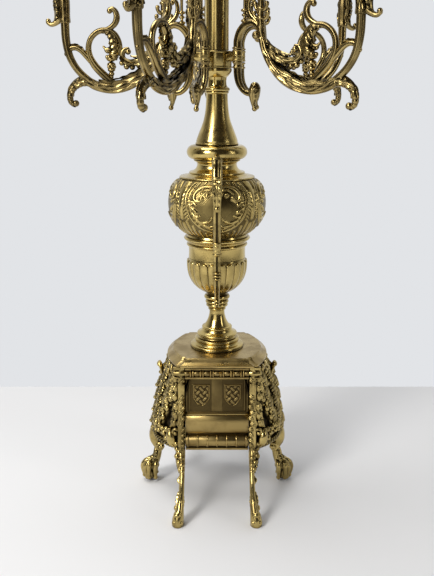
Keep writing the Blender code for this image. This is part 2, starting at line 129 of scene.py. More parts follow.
def tube_faces(rows, columns):
    """Faces of a tube over a grid of points, with a cap on each end."""
    caps = [list(range(columns)), list(range((rows - 1) * columns, rows * columns))]
    return grid_faces(rows, columns) + caps


def sheet_faces(rows, columns):
    """Faces of a closed sheet: a grid of points, a second one behind it, and the rim between."""
    front = grid_faces(rows, columns, wrap_columns=False)
    behind = rows * columns
    rim = [(k * columns + c, (k + 1) * columns + c) for k in range(rows - 1) for c in (0, columns - 1)]
    rim += [(k * columns + c, k * columns + c + 1) for k in (0, rows - 1) for c in range(columns - 1)]
    faces = front + [[i + behind for i in reversed(face)] for face in front]
    return faces + [[a, b, b + behind, a + behind] for a, b in rim]


def smooth(points, steps=6):
    """Catmull-Rom curve through the points."""
    p = np.array(points, float)
    padded = np.vstack([2 * p[0] - p[1], p, 2 * p[-1] - p[-2]])
    t = np.linspace(0, 1, steps, endpoint=False)[:, None]
    spans = []
    for k in range(len(p) - 1):
        a, b, c, d = padded[k:k + 4]
        square = a - 2.5 * b + 2 * c - d / 2
        cube = 3 * b - a - 3 * c + d
        spans.append(b + t * (c - a) / 2 + t ** 2 * square + t ** 3 * cube / 2)
    spans.append(p[-1:])
    return np.vstack(spans)


def arc(centre, radius, start, end, count=8):
    """Points of an arc in a turned profile, with angles in degrees from the outward direction."""
    turns = np.radians(np.linspace(start, end, count))
    return np.column_stack([centre[0] + radius * np.cos(turns), centre[1] + radius * np.sin(turns)])


def profile(*parts):
    """One outline out of several runs of points."""
    return np.vstack([np.array(part, float).reshape(-1, 2) for part in parts])


def turned(shape, outline, base_z=0.0, sides=128, centre=(0.0, 0.0), swell=None):
    """Ring-shaped solid from a closed outline of (radius, height) points."""
    outline = np.asarray(outline, float)
    theta = np.linspace(0, TAU, sides, endpoint=False)[None, :]
    r = np.repeat(outline[:, :1], sides, axis=1)
    z = np.repeat(outline[:, 1:], sides, axis=1) + base_z
    relief = np.zeros_like(r)
    if swell:
        r, z, relief = swell(theta, r, z)
    points = np.stack([centre[0] + r * np.cos(theta), centre[1] + r * np.sin(theta), z], axis=-1)
    shape.add(points, grid_faces(len(outline), sides, wrap_rows=True), relief)


def ball(shape, centre, radii, sides=14, rows=9):
    """Ellipsoid with its radii along X, Y and Z."""
    radii = np.broadcast_to(np.asarray(radii, float), 3)
    tilt = np.linspace(-math.pi / 2 + 0.06, math.pi / 2 - 0.06, rows)[:, None]
    theta = np.linspace(0, TAU, sides, endpoint=False)[None, :]
    unit = np.stack([np.cos(tilt) * np.cos(theta), np.cos(tilt) * np.sin(theta),
                     np.sin(tilt) * np.ones_like(theta)], axis=-1)
    shape.add(np.asarray(centre, float) + unit * radii, tube_faces(rows, sides), 0.35)


def sweep(shape, stations, side, sides=16, steps=6, section=None, ends="round"):
    """Closed bar along stations of (x, y, z, half width along side, half thickness across).

    section gives the share of the full size for an angle round the bar and a share along it.
    """
    dense = smooth(stations, steps)
    side = np.array(side, float)
    along = np.gradient(dense[:, :3], axis=0)
    along /= np.linalg.norm(along, axis=1)[:, None]
    share = np.linspace(0, 1, len(dense))
    if ends == "round":
        swing = np.radians([88, 66, 44, 22])
        for end, way in ((0, -1), (-1, 1)):
            cap = np.repeat(dense[end:][:1], 4, axis=0)
            cap[:, :3] += way * along[end] * (np.sin(swing) * dense[end, 4])[:, None]
            cap[:, 3:] *= np.cos(swing)[:, None]
            caps = (cap, np.repeat(along[end:][:1], 4, axis=0), np.repeat(share[end], 4))
            rows = (dense, along, share)
            if way < 0:
                dense, along, share = (np.concatenate([c, x]) for c, x in zip(caps, rows))
            else:
                dense, along, share = (np.concatenate([x, c[::-1]]) for c, x in zip(caps, rows))
    across = np.cross(along, side)
    across /= np.linalg.norm(across, axis=1)[:, None]
    angle = np.linspace(0, TAU, sides, endpoint=False)[None, :]
    factor = section(angle, share[:, None]) if section else np.ones((len(dense), sides))
    factor = np.broadcast_to(factor, (len(dense), sides))
    wide = (dense[:, 3:4] * np.cos(angle) * factor)[..., None] * side
    thick = (dense[:, 4:5] * np.sin(angle) * factor)[..., None] * across[:, None, :]
    points = dense[:, None, :3] + wide + thick
    shape.add(points, tube_faces(len(dense), sides), np.clip((factor - 1) * 6, -1, 1))


def grooved(angle, share):
    """Section with a shallow groove down the middle of each flat side."""
    return 1.02 - 0.20 * np.exp(-(np.sin(angle) / 0.30) ** 2)


def reeded(count, depth):
    """Section with convex reeds along the bar."""
    def section(angle, share):
        return 1 - depth + depth * np.abs(np.cos(angle * count / 2))
    return section


def ringed(count, depth):
    """Section with rounded rings one after another along the bar."""
    def section(angle, share):
        return 1 - depth + depth * np.abs(np.sin(share * count * math.pi)) ** 0.6 + 0 * angle
    return section


def twisted(turns, strands, depth):
    """Section of strands that twist along the bar."""
    def section(angle, share):
        return 1 - depth + depth * np.abs(np.cos((angle + share * turns * TAU) * strands / 2))
    return section


def leaf(shape, stations, side, lobes=5, cup=0.35, thickness=0.9, notch=0.38, rows=44, columns=17):
    """Acanthus leaf: a lobed, veined and cupped sheet along stations of (x, y, z, half width)."""
    dense = smooth(stations, max(2, rows // (len(stations) - 1)))
    side = np.array(side, float)
    along = np.gradient(dense[:, :3], axis=0)
    along /= np.linalg.norm(along, axis=1)[:, None]
    across = np.cross(along, side)
    across /= np.linalg.norm(across, axis=1)[:, None]
    share = np.linspace(0, 1, len(dense))[:, None]
    u = np.linspace(-1, 1, columns)[None, :]
    tooth = np.abs(np.sin(share * lobes * math.pi)) ** 0.75
    width = dense[:, 3:4] * (1 - notch * (1 - tooth) * np.abs(u) ** 1.5)
    vein = np.cos((share * lobes - 0.35 * np.abs(u)) * TAU) * np.abs(u) * 0.10
    midrib = 0.22 * np.exp(-(u / 0.16) ** 2)
    lift = dense[:, 3:4] * (midrib + vein - cup * u ** 2)
    middle = dense[:, None, :3] + (width * u)[..., None] * side + lift[..., None] * across[:, None, :]
    half = thickness / 2 * (1 - 0.7 * np.abs(u) ** 3)[..., None] * across[:, None, :]
    relief = np.clip((midrib + vein) * 5 - 0.25 - 0.5 * (1 - tooth) * np.abs(u), -1, 1)
    shape.add(np.concatenate([middle + half, middle - half]), sheet_faces(*middle.shape[:2]),
              np.concatenate([relief, relief]))


def curl(shape, place, centre, radius, start, turn, thick, side, points=9):
    """Scroll in a plane: place turns (a, b) of the plane into a point, and the scroll winds inwards."""
    stations = []
    for share in np.linspace(0, 1, points):
        angle = math.radians(start + turn * share)
        reach = radius * (1 - 0.62 * share)
        size = thick * (1 - 0.35 * share)
        here = place(centre[0] + reach * math.cos(angle), centre[1] + reach * math.sin(angle))
        stations.append((*here, size, size))
    sweep(shape, stations, side, 10, 4)
    ball(shape, stations[-1][:3], thick * 1.45)


def rounded_box(shape, low, high, bevel):
    """Block with bevelled edges."""
    bm = bmesh.new()
    bmesh.ops.create_cube(bm, size=1.0)
    low, high = np.array(low, float), np.array(high, float)
    for vert in bm.verts:
        vert.co = Vector((low + high) / 2 + np.array(vert.co) * (high - low))
    bmesh.ops.bevel(bm, geom=list(bm.edges), offset=bevel, segments=2, affect="EDGES", profile=0.5)
    bm.verts.index_update()
    shape.add([tuple(v.co) for v in bm.verts], [[v.index for v in f.verts] for f in bm.faces], 0.2)
    bm.free()


def make_piece(node, shape, look, sharp=42.0):
    """Turn a shape into the piece that stands for a CAD node and moves with its body."""
    mesh = bpy.data.meshes.new(node + "_fine")
    mesh.from_pydata((np.vstack(shape.points) * MM).tolist(), [], shape.faces)
    bm = bmesh.new()
    bm.from_mesh(mesh)
    bmesh.ops.recalc_face_normals(bm, faces=bm.faces)
    bm.to_mesh(mesh)
    bm.free()
    relief = mesh.attributes.new("relief", "FLOAT", "POINT")
    relief.data.foreach_set("value", np.concatenate(shape.relief).astype(np.float32))
    mesh.shade_smooth()
    mesh.set_sharp_from_angle(angle=math.radians(sharp))
    mesh.materials.append(look)
    piece = bpy.data.objects.new(node + "_fine", mesh)
    bpy.context.scene.collection.objects.link(piece)
    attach(piece, BODY_OF[node])
    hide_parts(node)


def turned_piece(node, outline, look):
    """Turned piece whose outline starts at the lowest point of its CAD node."""
    shape = Shape()
    turned(shape, outline, low_z(node))
    make_piece(node, shape, look)


# ---------------------------------------------------------------- materials

def brass_look(name, bright, dull, deep, rough, grime, scratch=0.0, wear=0.5, bump=0.05):
    """Aged brass: bright on high points, from wear and painted highlight; dull with tarnish; dark in the hollows,
    from patina and painted shade.

    rough is (polished, tarnished) roughness, and the argument after it is how strongly the hollows darken with
    painted shade and grime.
    """
    look = bpy.data.materials.new(name)
    look.use_nodes = True
    nodes, links = look.node_tree.nodes, look.node_tree.links
    shader = nodes["Principled BSDF"]
    shader.inputs["Metallic"].default_value = 1.0
    place = nodes.new("ShaderNodeTexCoord").outputs["Object"]

    def noise(scale, detail, roughness=0.55, stretch=None):
        source = place
        if stretch:
            mapping = nodes.new("ShaderNodeMapping")
            mapping.inputs["Scale"].default_value = stretch
            links.new(place, mapping.inputs["Vector"])
            source = mapping.outputs["Vector"]
        texture = nodes.new("ShaderNodeTexNoise")
        texture.inputs["Scale"].default_value = scale
        texture.inputs["Detail"].default_value = detail
        texture.inputs["Roughness"].default_value = roughness
        links.new(source, texture.inputs["Vector"])
        return texture.outputs["Fac"]

    def ramp(source, low, high, out_low=0.0, out_high=1.0):
        node = nodes.new("ShaderNodeMapRange")
        node.interpolation_type = "SMOOTHSTEP"
        for key, value in (("From Min", low), ("From Max", high), ("To Min", out_low),
                           ("To Max", out_high)):
            node.inputs[key].default_value = value
        links.new(source, node.inputs["Value"])
        return node.outputs["Result"]

    def math_node(operation, first, second):
        node = nodes.new("ShaderNodeMath")
        node.operation = operation
        node.use_clamp = True
        for socket, value in zip(node.inputs, (first, second)):
            if isinstance(value, (int, float)):
                socket.default_value = value
            else:
                links.new(value, socket)
        return node.outputs["Value"]

    def mix(amount, first, second):
        node = nodes.new("ShaderNodeMix")
        node.data_type = "RGBA"
        links.new(amount, node.inputs["Factor"])
        for key, value in (("A", first), ("B", second)):
            socket = [s for s in node.inputs if s.name == key and s.type == "RGBA"][0]
            if isinstance(value, tuple):
                socket.default_value = (*value, 1.0)
            else:
                links.new(value, socket)
        return [s for s in node.outputs if s.type == "RGBA"][0]

    relief = nodes.new("ShaderNodeAttribute")
    relief.attribute_name = "relief"
    height = relief.outputs["Fac"]
    # Painted shade: the occlusion node and the low relief values darken the colour in crevices and hollows, which
    # also stands for patina there.
    occlusion = nodes.new("ShaderNodeAmbientOcclusion")
    occlusion.inputs["Distance"].default_value = 0.006
    occlusion.samples = 8
    open_share = occlusion.outputs["AO"]

    tarnish = ramp(noise(38.0, 6.0, 0.6), 0.42, 0.66)
    specks = ramp(noise(420.0, 4.0, 0.7), 0.60, 0.74, 0.0, 0.5)
    occlusion_shade = ramp(open_share, 0.25, 0.80, 1.0, 0.0)
    sunk = ramp(height, -0.9, 0.05, 1.0, 0.0)
    shade_and_dirt = math_node("MULTIPLY", math_node("MAXIMUM", occlusion_shade, sunk), grime)
    # High relief values brighten the colour: wear on high points, and painted highlight on edges raised for it.
    rubbed_and_highlight = math_node("MULTIPLY", ramp(height, 0.15, 0.9), wear)

    colour = mix(math_node("MULTIPLY", tarnish, 0.75), bright, dull)
    colour = mix(specks, colour, dull)
    colour = mix(rubbed_and_highlight, colour, bright)
    colour = mix(shade_and_dirt, colour, deep)
    links.new(colour, shader.inputs["Base Color"])

    hazy = math_node("ADD", math_node("MULTIPLY", tarnish, 0.6), math_node("MULTIPLY", shade_and_dirt, 0.9))
    smears = noise(150.0, 5.0, 0.65, (1.0, 1.0, 0.25))
    hazy = math_node("ADD", hazy, math_node("MULTIPLY", smears, 0.35))
    links.new(ramp(hazy, 0.0, 1.0, rough[0], rough[1]), shader.inputs["Roughness"])

    fine = noise(900.0, 3.0, 0.6)
    if scratch:
        lines = noise(260.0, 4.0, 0.7, (1.0, 1.0, 9.0))
        fine = math_node("ADD", math_node("MULTIPLY", fine, 0.4), math_node("MULTIPLY", lines, scratch))
    dents = nodes.new("ShaderNodeBump")
    dents.inputs["Strength"].default_value = bump
    dents.inputs["Distance"].default_value = 0.0006
    links.new(fine, dents.inputs["Height"])
    links.new(dents.outputs["Normal"], shader.inputs["Normal"])
    return look


CAST = brass_look("cast_brass", (0.53, 0.405, 0.15), (0.175, 0.125, 0.045), (0.012, 0.008, 0.004),
                  (0.17, 0.38), 0.97)
# Brass of the arms and drops: tarnished, and darker all over as painted shade.
AGED_AND_SHADED = brass_look("aged_brass", (0.40, 0.30, 0.12), (0.115, 0.083, 0.034), (0.010, 0.007, 0.003),
                  (0.15, 0.34), 0.97)
CHASED = brass_look("chased_brass", (0.52, 0.395, 0.145), (0.25, 0.18, 0.06), (0.018, 0.011, 0.004),
                    (0.17, 0.36), 0.97)
TURNED = brass_look("turned_brass", (0.60, 0.455, 0.165), (0.36, 0.265, 0.09), (0.045, 0.030, 0.009),
                    (0.15, 0.32), 0.85, scratch=0.5)
SATIN = brass_look("satin_brass", (0.46, 0.335, 0.125), (0.26, 0.185, 0.07), (0.024, 0.015, 0.006),
                   (0.24, 0.44), 0.93, scratch=0.2)
STEEL = brass_look("rod_steel", (0.55, 0.54, 0.52), (0.35, 0.33, 0.31), (0.08, 0.07, 0.06), (0.30, 0.55),
                   0.7)


# ---------------------------------------------------------------- stem

ROD_BORE = 3.4


def bored(*parts):
    """Close an outline, given from the bottom up, on the hole for the tie rod."""
    outline = profile(*parts)
    return profile([(ROD_BORE, outline[0, 1])], outline, [(ROD_BORE, outline[-1, 1])])


def build_stem_foot():
    """Stepped rings and knop that stand on the top plate."""
    outline = bored(
        [(29.0, 0)], arc((28.0, 1.6), 1.4, -60, 90, 8), arc((26.3, 6.0), 2.6, -88, -175, 7),
        arc((23.0, 8.3), 1.7, -60, 90, 7), arc((21.6, 11.9), 1.7, -90, -180, 6),
        arc((20.6, 14.3), 1.6, -70, 80, 7),
        smooth([(20.0, 16.0), (17.6, 17.6), (16.4, 19.8)], 5), arc((15.2, 21.6), 1.5, -60, 80, 7),
        smooth([(14.2, 23.2), (12.4, 26.0), (10.2, 30.2), (8.6, 36.0), (8.2, 41.0)], 5),
        arc((8.4, 42.6), 1.3, -60, 60, 6), smooth([(8.8, 44.2), (9.4, 45.2)], 3),
        arc((10.2, 47.0), 1.8, -70, 70, 8),
        [(10.6, 48.9)], arc((10.8, 50.9), 2.0, -75, 75, 8), [(10.8, 53.3)],
        arc((11.6, 56.3), 2.5, -80, 80, 9),
        [(11.2, 59.2), (10.6, 60.4)], arc((10.0, 61.3), 0.8, -60, 60, 5), [(10.4, height_of("stem_foot"))])
    turned_piece("stem_foot", outline, TURNED)


def build_bowl():
    """Bowl of convex flutes whose round tops stand out from the collar above."""
    flutes, depth, rim_z = 20, 2.1, 39.2
    low = low_z("fluted_bowl")
    body = smooth([(10.8, 0.0), (14.5, 1.4), (20.0, 5.2), (25.2, 11.0), (29.0, 19.0), (30.6, 28.0),
                   (30.9, 36.0), (30.6, rim_z)], 12)
    inside = smooth([(28.4, rim_z), (28.4, 30.0), (24.0, 17.0), (14.0, 9.0), (ROD_BORE, 7.5)], 5)

    def swell(theta, r, z):
        share = (theta * flutes / TAU) % 1.0 * 2 - 1
        rise = np.clip((z - low) / rim_z, 0, 1)
        top = 37.4 - 2.6 * (1 - np.sqrt(np.clip(1 - share ** 2, 0, 1)))
        fade = np.clip((top - (z - low)) / 1.3, 0, 1) ** 0.5 * np.clip(rise * 6, 0, 1)
        outer = np.arange(r.shape[0])[:, None] < len(body)
        lobe = np.sqrt(np.clip(1 - (share * 0.97) ** 2, 0, 1))
        height = depth * lobe * fade * np.clip(0.35 + rise, 0, 1)
        shade = np.where(fade > 0.05, np.clip(lobe * fade * 2.2 - 1.2, -1, 0.6), -0.1)
        return r + np.where(outer, height, 0), z, np.where(outer, shade, 0)

    shape = Shape()
    turned(shape, profile(body, inside), low, 400, swell=swell)
    make_piece("fluted_bowl", shape, CHASED, 60)


def build_collar():
    """Plain band over the bowl, with a beaded rim."""
    low = low_z("bowl_collar")
    outline = profile(
        [(30.6, 0)], smooth([(30.8, 0.2), (30.6, 3.5), (30.5, 8.0), (30.8, 12.5)], 3), [(31.4, 13.2)],
        arc((31.6, 14.6), 1.3, -80, 80, 7), [(31.4, 16.2)],
        smooth([(31.8, 16.6), (32.6, 18.0), (33.6, 19.2)], 4), arc((33.7, 21.6), 1.9, -75, 90, 9),
        [(32.6, 23.8), (32.0, 25.6), (28.5, 25.7), (ROD_BORE, 25.7), (ROD_BORE, 21.5), (28, 18.5), (28, 0)])
    shape = Shape()
    turned(shape, outline, low)
    beads, bead_r, bead_z = 72, 34.4, 21.6
    for k in range(beads):
        angle = TAU * k / beads
        ball(shape, (bead_r * math.cos(angle), bead_r * math.sin(angle), low + bead_z), 1.35, 8, 6)
    make_piece("bowl_collar", shape, TURNED)


def stroke_heights(x, y, strokes):
    """Height of raised strokes over points (x, y).

    A stroke is (points, half width at the start, half width at the end, height); one point alone
    is a round boss.
    """
    total = np.zeros_like(x)
    for points, start, end, height in strokes:
        path = smooth(points, 5) if len(points) > 2 else np.array(points, float)
        if len(path) == 1:
            path = np.vstack([path, path + 1e-3])
        for k in range(len(path) - 1):
            a, b = path[k], path[k + 1]
            way = b - a
            t = np.clip(((x - a[0]) * way[0] + (y - a[1]) * way[1]) / max(way @ way, 1e-9), 0, 1)
            gap = np.hypot(x - a[0] - t * way[0], y - a[1] - t * way[1])
            along = (k + t) / (len(path) - 1)
            width = start + (end - start) * along
            total = np.maximum(total, height * np.sqrt(np.clip(1 - (gap / width) ** 2, 0, 1)))
    return total


def bulb_pattern():
    """Half of one of the bulb's four panels: (degrees from the panel's middle, height above the rim)."""
    strokes = [
        ([(6, 55.2), (15, 55.4), (23.5, 52.6), (27.5, 47.3), (26.3, 42.6), (21.8, 41.0), (18, 43.0)],
         1.9, 1.3, 1.7),
        ([(18.2, 43.6)], 2.3, 2.3, 2.1),
        ([(8, 52.2), (14.5, 51.8), (19, 48.6)], 1.1, 0.8, 1.0),
        ([(11.5, 46.8)], 2.2, 2.2, 1.8),
        ([(3, 45.6), (6.5, 49.0)], 1.5, 0.9, 1.0),
        ([(0, 57.5), (0, 49.5)], 2.0, 1.2, 1.5),
        ([(4.4, 57.5), (4.6, 51.5)], 1.4, 0.8, 1.1),
        ([(32, 58.2), (36.5, 51.5), (38.2, 43.0), (35.0, 31.5), (29.8, 20.8), (20.5, 13.2), (9, 8.8),
          (0, 7.4)], 1.3, 1.2, 1.3),
        ([(29.5, 54.5), (33.2, 48.5), (34.0, 41.0), (30.8, 31.0), (26, 22.5), (18, 16.3), (8, 12.2),
          (0, 11.2)], 0.9, 0.9, 0.95),
        ([(31, 40.0), (27.5, 39.6), (24.5, 37.6)], 0.9, 1.6, 1.4),
        ([(30.5, 34.0), (27, 32.6), (24.0, 30.0)], 0.9, 1.7, 1.5),
        ([(24.2, 29.2)], 1.9, 1.9, 1.7),
        ([(27.5, 26.0), (23, 24.6), (19.5, 26.2)], 1.5, 0.9, 1.3),
        ([(24, 21.0), (16.5, 18.6), (9.5, 20.4), (6, 24.0)], 2.1, 1.0, 1.5),
        ([(15, 15.6), (7, 14.6), (2.5, 17.5)], 1.6, 1.0, 1.2),
        ([(0, 14.0), (0, 21.5)], 1.6, 2.6, 1.6),
        ([(45, 58.5), (45, 44.0), (45, 32.0), (45, 22.0)], 3.7, 2.0, 1.5),
        ([(45, 16.5), (45, 3.0)], 2.0, 1.6, 1.2),
        ([(39, 18.0), (38, 3.2)], 1.5, 1.3, 1.0),
        ([(32, 14.5), (31, 3.0)], 1.5, 1.3, 1.0),
        ([(24, 9.0), (24, 2.6)], 1.4, 1.3, 0.9),
        ([(16, 6.6), (16, 2.4)], 1.3, 1.2, 0.8),
        ([(8, 5.0), (8, 2.2)], 1.2, 1.1, 0.7),
        ([(40.5, 58.5), (40.8, 52.5)], 1.2, 0.8, 0.8),
        ([(24, 58.8), (26.5, 55.5)], 1.2, 0.8, 0.9),
        ([(15, 59.2), (17, 57.6)], 1.2, 0.9, 0.8),
    ]
    for k in range(9):
        z = 50.5 - 3.6 * k
        lean = 0.5 * max(k - 3, 0)
        strokes.append(([(38.6 - lean, z), (42.2 - lean * 0.6, z - 3.4)], 1.25, 0.6, 1.0))
    for k in range(6):
        z = 36.0 - 4.2 * k
        strokes.append(([(33.5 - 1.9 * k, z), (29.8 - 2.0 * k, z + 1.6)], 0.9, 0.5, 0.8))
    return strokes


def build_bulb():
    """Urn bulb: one eighth of the embossing, mirrored round, over a stippled ground."""
    low = low_z("embossed_bulb")
    top = height_of("embossed_bulb")
    body = smooth([(32.6, 0), (34.6, 1.4), (38.6, 4.6), (44.6, 10.4), (49.2, 18.6), (51.8, 28.0),
                   (52.0, 37.5), (49.8, 46.5), (46.0, 53.4), (42.6, 57.0), (40.0, top)], 16)
    inside = smooth([(37.5, top), (47.0, 45.0), (49.0, 34.0), (46.0, 17.0), (33.0, 2.5)], 4)
    length = np.concatenate([[0], np.cumsum(np.hypot(*np.diff(body, axis=0).T))])
    columns = 544
    half = columns // 8 + 1
    degrees = np.linspace(0, 45, half)
    x = np.radians(degrees)[None, :] * body[:, :1]
    y = np.repeat(length[:, None], half, axis=1)

    def place(point):
        radius = np.interp(point[1], body[:, 1], body[:, 0])
        return math.radians(point[0]) * radius, float(np.interp(point[1], body[:, 1], length))

    strokes = [([place(p) for p in points], a, b, c) for points, a, b, c in bulb_pattern()]
    raised = stroke_heights(x, y, strokes)
    z = np.repeat(body[:, 1:], half, axis=1)
    shield_x, shield_y = place((0, 33.5))
    shield = ((x - shield_x) / 15.0) ** 2 + ((y - shield_y) / 9.5) ** 2 < 1
    ground = (raised < 0.08) & (z > 6) & (z < 57) & ~shield
    pitch = 2.1
    stipple = 0.16 * np.cos(x * TAU / pitch) * np.cos(y * TAU / pitch)
    relief_half = np.where(ground, -0.55 + stipple * 2, np.clip(raised * 1.2 - 0.55, -0.5, 1))
    raised = raised + np.where(ground, stipple, 0)
    panel = np.arange(columns) % (2 * (half - 1))
    pick = np.where(panel < half, panel, 2 * (half - 1) - panel)

    def swell(theta, r, z_all):
        out, relief = np.zeros_like(r), np.zeros_like(r)
        out[:len(body)] = raised[:, pick]
        relief[:len(body)] = relief_half[:, pick]
        return r + out, z_all, relief

    shape = Shape()
    turned(shape, profile(body, inside), low, columns, swell=swell)
    make_piece("embossed_bulb", shape, CHASED, 75)


def build_plain_turnings():
    """Smooth turned pieces of the stem above the bulb."""
    turned_piece("shoulder_spool", bored(
        [(39.6, 0)], arc((39.0, 1.0), 0.9, -70, 80, 6),
        smooth([(37.5, 1.9), (32.5, 3.0), (29.6, 4.6)], 4), arc((28.6, 5.6), 1.0, -50, 70, 5),
        smooth([(27.2, 6.6), (23.0, 9.2), (21.2, 12.6), (21.4, 15.4), (23.4, 17.6)], 6),
        arc((23.8, 18.3), 0.8, -60, 90, 5), [(24.6, height_of("shoulder_spool"))]), TURNED)

    ring_high = height_of("shoulder_ring")
    middle = ring_high / 2
    turned_piece("shoulder_ring", bored(
        [(25.0, 0)], arc((24.6, middle), middle - 0.05, -86, 86, 28), [(24.2, ring_high)]), TURNED)

    turned_piece("upper_vase", bored(
        [(22.0, 0)], arc((21.6, 1.2), 1.1, -80, 80, 7),
        smooth([(21.8, 2.6), (21.5, 5.0), (19.0, 11.7), (16.4, 18.2), (14.1, 24.7), (12.6, 31.7),
                (11.8, 38.7), (11.3, 45.7), (11.1, 51.5)], 6),
        arc((11.0, 53.2), 1.3, -60, 60, 6), arc((11.4, 56.0), 1.9, -65, 70, 8),
        smooth([(11.0, 58.6), (10.0, 60.6), (9.7, 64.5), (10.2, 68.2)], 5), [(11.4, 69.0), (12.6, 70.4)],
        smooth([(13.4, 71.4), (14.4, 72.8), (15.0, 74.0)], 4),
        [(15.2, 74.2), (15.2, height_of("upper_vase"))]), TURNED)

    outer, inner, edge = 12.0, 10.4, 0.3
    tube_high = height_of("centre_tube")
    turned_piece("centre_tube", profile(
        [(outer - edge, 0), (outer, edge), (outer, tube_high * 0.5), (outer, tube_high - edge),
         (outer - edge, tube_high), (inner, tube_high), (inner, 0)]), TURNED)


def build_hub():
    """Collar with a web and a ringed barrel for each arm."""
    low = low_z("arm_hub")
    high = high_z("arm_hub")
    shape = Shape()
    collar_high = high - low - 0.7
    turned(shape, bored(
        [(14.2, 0)], arc((14.6, 1.2), 1.0, -80, 80, 6), [(15.0, 2.6), (15.0, collar_high - 2.4)],
        arc((14.8, collar_high - 1.2), 1.1, -80, 80, 6), [(14.2, collar_high)]), low)
    web_line = ((12.5, 473.6, 3.2), (18.5, 474.6, 2.2), (24.4, 475.6, 2.6))
    bore, barrel_high = 3.75, 11.0
    barrel = profile(
        [(bore, 0), (4.6, 0)], arc((4.5, 1.0), 0.8, -80, 80, 6), [(4.75, 2.1), (4.75, 4.6)],
        arc((4.7, 5.3), 0.45, -80, 80, 5), [(4.75, 6.0), (4.75, 8.8)],
        arc((4.5, 9.9), 0.9, -80, 80, 6), [(4.4, barrel_high), (bore, barrel_high)])
    for joint in frame["joints"]:
        x, y = joint["pos_m"][0] / MM, joint["pos_m"][1] / MM
        out = np.array([x, y]) / math.hypot(x, y)
        web = [(*(out * r), z, w, 4.6) for r, z, w in web_line]
        sweep(shape, web, (-out[1], out[0], 0), 12, 4, ends="flat")
        turned(shape, barrel, high - barrel_high, 40, (x, y))
    make_piece("arm_hub", shape, CAST)


# ---------------------------------------------------------------- candle holders

def pan_shape(node, centre):
    """Drip pan with a scalloped, beaded rim and turned rings in the dish."""
    low = low_z(node)
    outline = profile(
        [(3.4, 0), (7.8, 0)], smooth([(8.2, 0.1), (12.5, 0.9), (17.5, 2.5), (21.5, 4.9), (23.2, 6.9)], 5),
        arc((22.9, 7.5), 0.8, -20, 170, 7), smooth([(21.4, 6.5), (18.0, 4.2), (15.8, 3.2)], 4),
        arc((14.6, 3.2), 0.7, 10, 170, 5), smooth([(13.2, 2.6), (10.5, 2.1), (8.2, 2.0)], 4),
        [(7.8, 2.6), (3.4, 2.6)])
    scallops = 16

    def swell(theta, r, z):
        edge = np.clip((r - 17.0) / 6.0, 0, 1) ** 2
        wave = np.abs(np.cos(theta * scallops / 2))
        shade = -0.6 * edge * (1 - wave) ** 2
        return r - 1.1 * edge * (1 - wave), z + 0.9 * edge * wave - 0.6 * edge, shade

    shape = Shape()
    turned(shape, outline, low, 160, centre, swell)
    return shape


def cup_shape(node, centre):
    """Vase-shaped candle cup with a fluted belly and a flared lip round the candle bore."""
    low = low_z(node)
    seat = 12.0
    lip = 33.5
    outer = profile([(6.9, 0)], arc((6.6, 0.8), 0.75, -80, 80, 5),
                    smooth([(6.2, 1.8), (5.1, 3.2), (4.9, 4.6)], 4),
                    arc((5.0, 5.6), 0.8, -70, 70, 5),
                    smooth([(5.4, 6.6), (8.4, 8.2), (11.4, 10.8), (13.2, 15.0),
                    (13.3, 20.0), (12.5, 25.5)], 8), arc((12.4, 26.6), 0.8, -70, 70, 5),
                    smooth([(12.6, 27.8), (13.2, 29.4), (15.0, 31.4)], 4),
                    arc((15.0, 32.3), 0.9, -60, 100, 7))
    inner = profile([(14.0, lip), (11.9, lip - 0.7)],
                    [(11.2, lip - 2.2), (11.2, seat), (3.4, seat), (3.4, 0)])
    flutes = 12

    def swell(theta, r, z):
        height = z - low
        belt = np.clip(1 - np.abs(height - 14.5) / 8.5, 0, 1) ** 0.7
        outside = np.arange(r.shape[0])[:, None] < len(outer)
        wave = np.abs(np.cos(theta * flutes / 2))
        carve = np.where(outside, 0.75 * belt * (1 - wave), 0)
        return r - carve, z, -1.2 * carve

    shape = Shape()
    turned(shape, profile(outer, inner), low, 120, centre, swell)
    return shape


def middle_of(node):
    """Middle of a CAD piece seen from above, in millimetres."""
    low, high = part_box(node)
    return (low.x + high.x) / 2 / MM, (low.y + high.y) / 2 / MM


def build_centre_top():
    """Knop, drip pan and candle cup on top of the tube."""
    high = height_of("centre_knop")
    turned_piece("centre_knop", profile(
        [(0.05, 0), (13.6, 0)], arc((13.4, 1.1), 1.0, -80, 80, 6), arc((12.6, 3.2), 0.9, -80, 60, 6),
        smooth([(12.2, 4.2), (9.6, 6.0), (8.9, 8.0)], 5),
        smooth([(9.4, 9.6), (11.6, 12.4), (14.6, 15.0)], 5), arc((15.0, 17.6), 1.5, -80, 60, 7),
        smooth([(15.0, 19.4), (14.2, 21.8), (10.6, 25.6), (7.2, 29.0)], 6),
        arc((6.8, 30.4), 1.1, -70, 70, 6),
        [(7.2, 32.0), (8.8, 35.7), (3.0, 35.7), (3.0, high), (0.05, high)]), TURNED)
    make_piece("centre_drip_pan", pan_shape("centre_drip_pan", (0, 0)), TURNED)
    make_piece("centre_candle_cup", cup_shape("centre_candle_cup", (0, 0)), TURNED)


# ---------------------------------------------------------------- arms

PIVOT_R = 28.0
INNER_R = 54.4
DROP_R = 110.8
OUTER_R = 158.5
SOCKET_Z = 531.5
SIDE = (0.0, 1.0, 0.0)


def on_arm(r, z, across=0.0):
    """A point of an arm from its distance to the stem, its height and its place across the arm."""
    return r - PIVOT_R, across, z


def arm_bar(shape, line, sides=14, steps=6, section=None, flat=1.0, ends="round"):
    """Bar along (r, z, half thickness); flat is the width across the plane as a share of that."""
    sweep(shape, [(*on_arm(r, z), t * flat, t) for r, z, t in line], SIDE, sides, steps, section, ends)


def arm_leaf(shape, line, **options):
    """Leaf on an arm from (r, z, half width) points."""
    leaf(shape, [(*on_arm(r, z), w) for r, z, w in line], SIDE, **options)


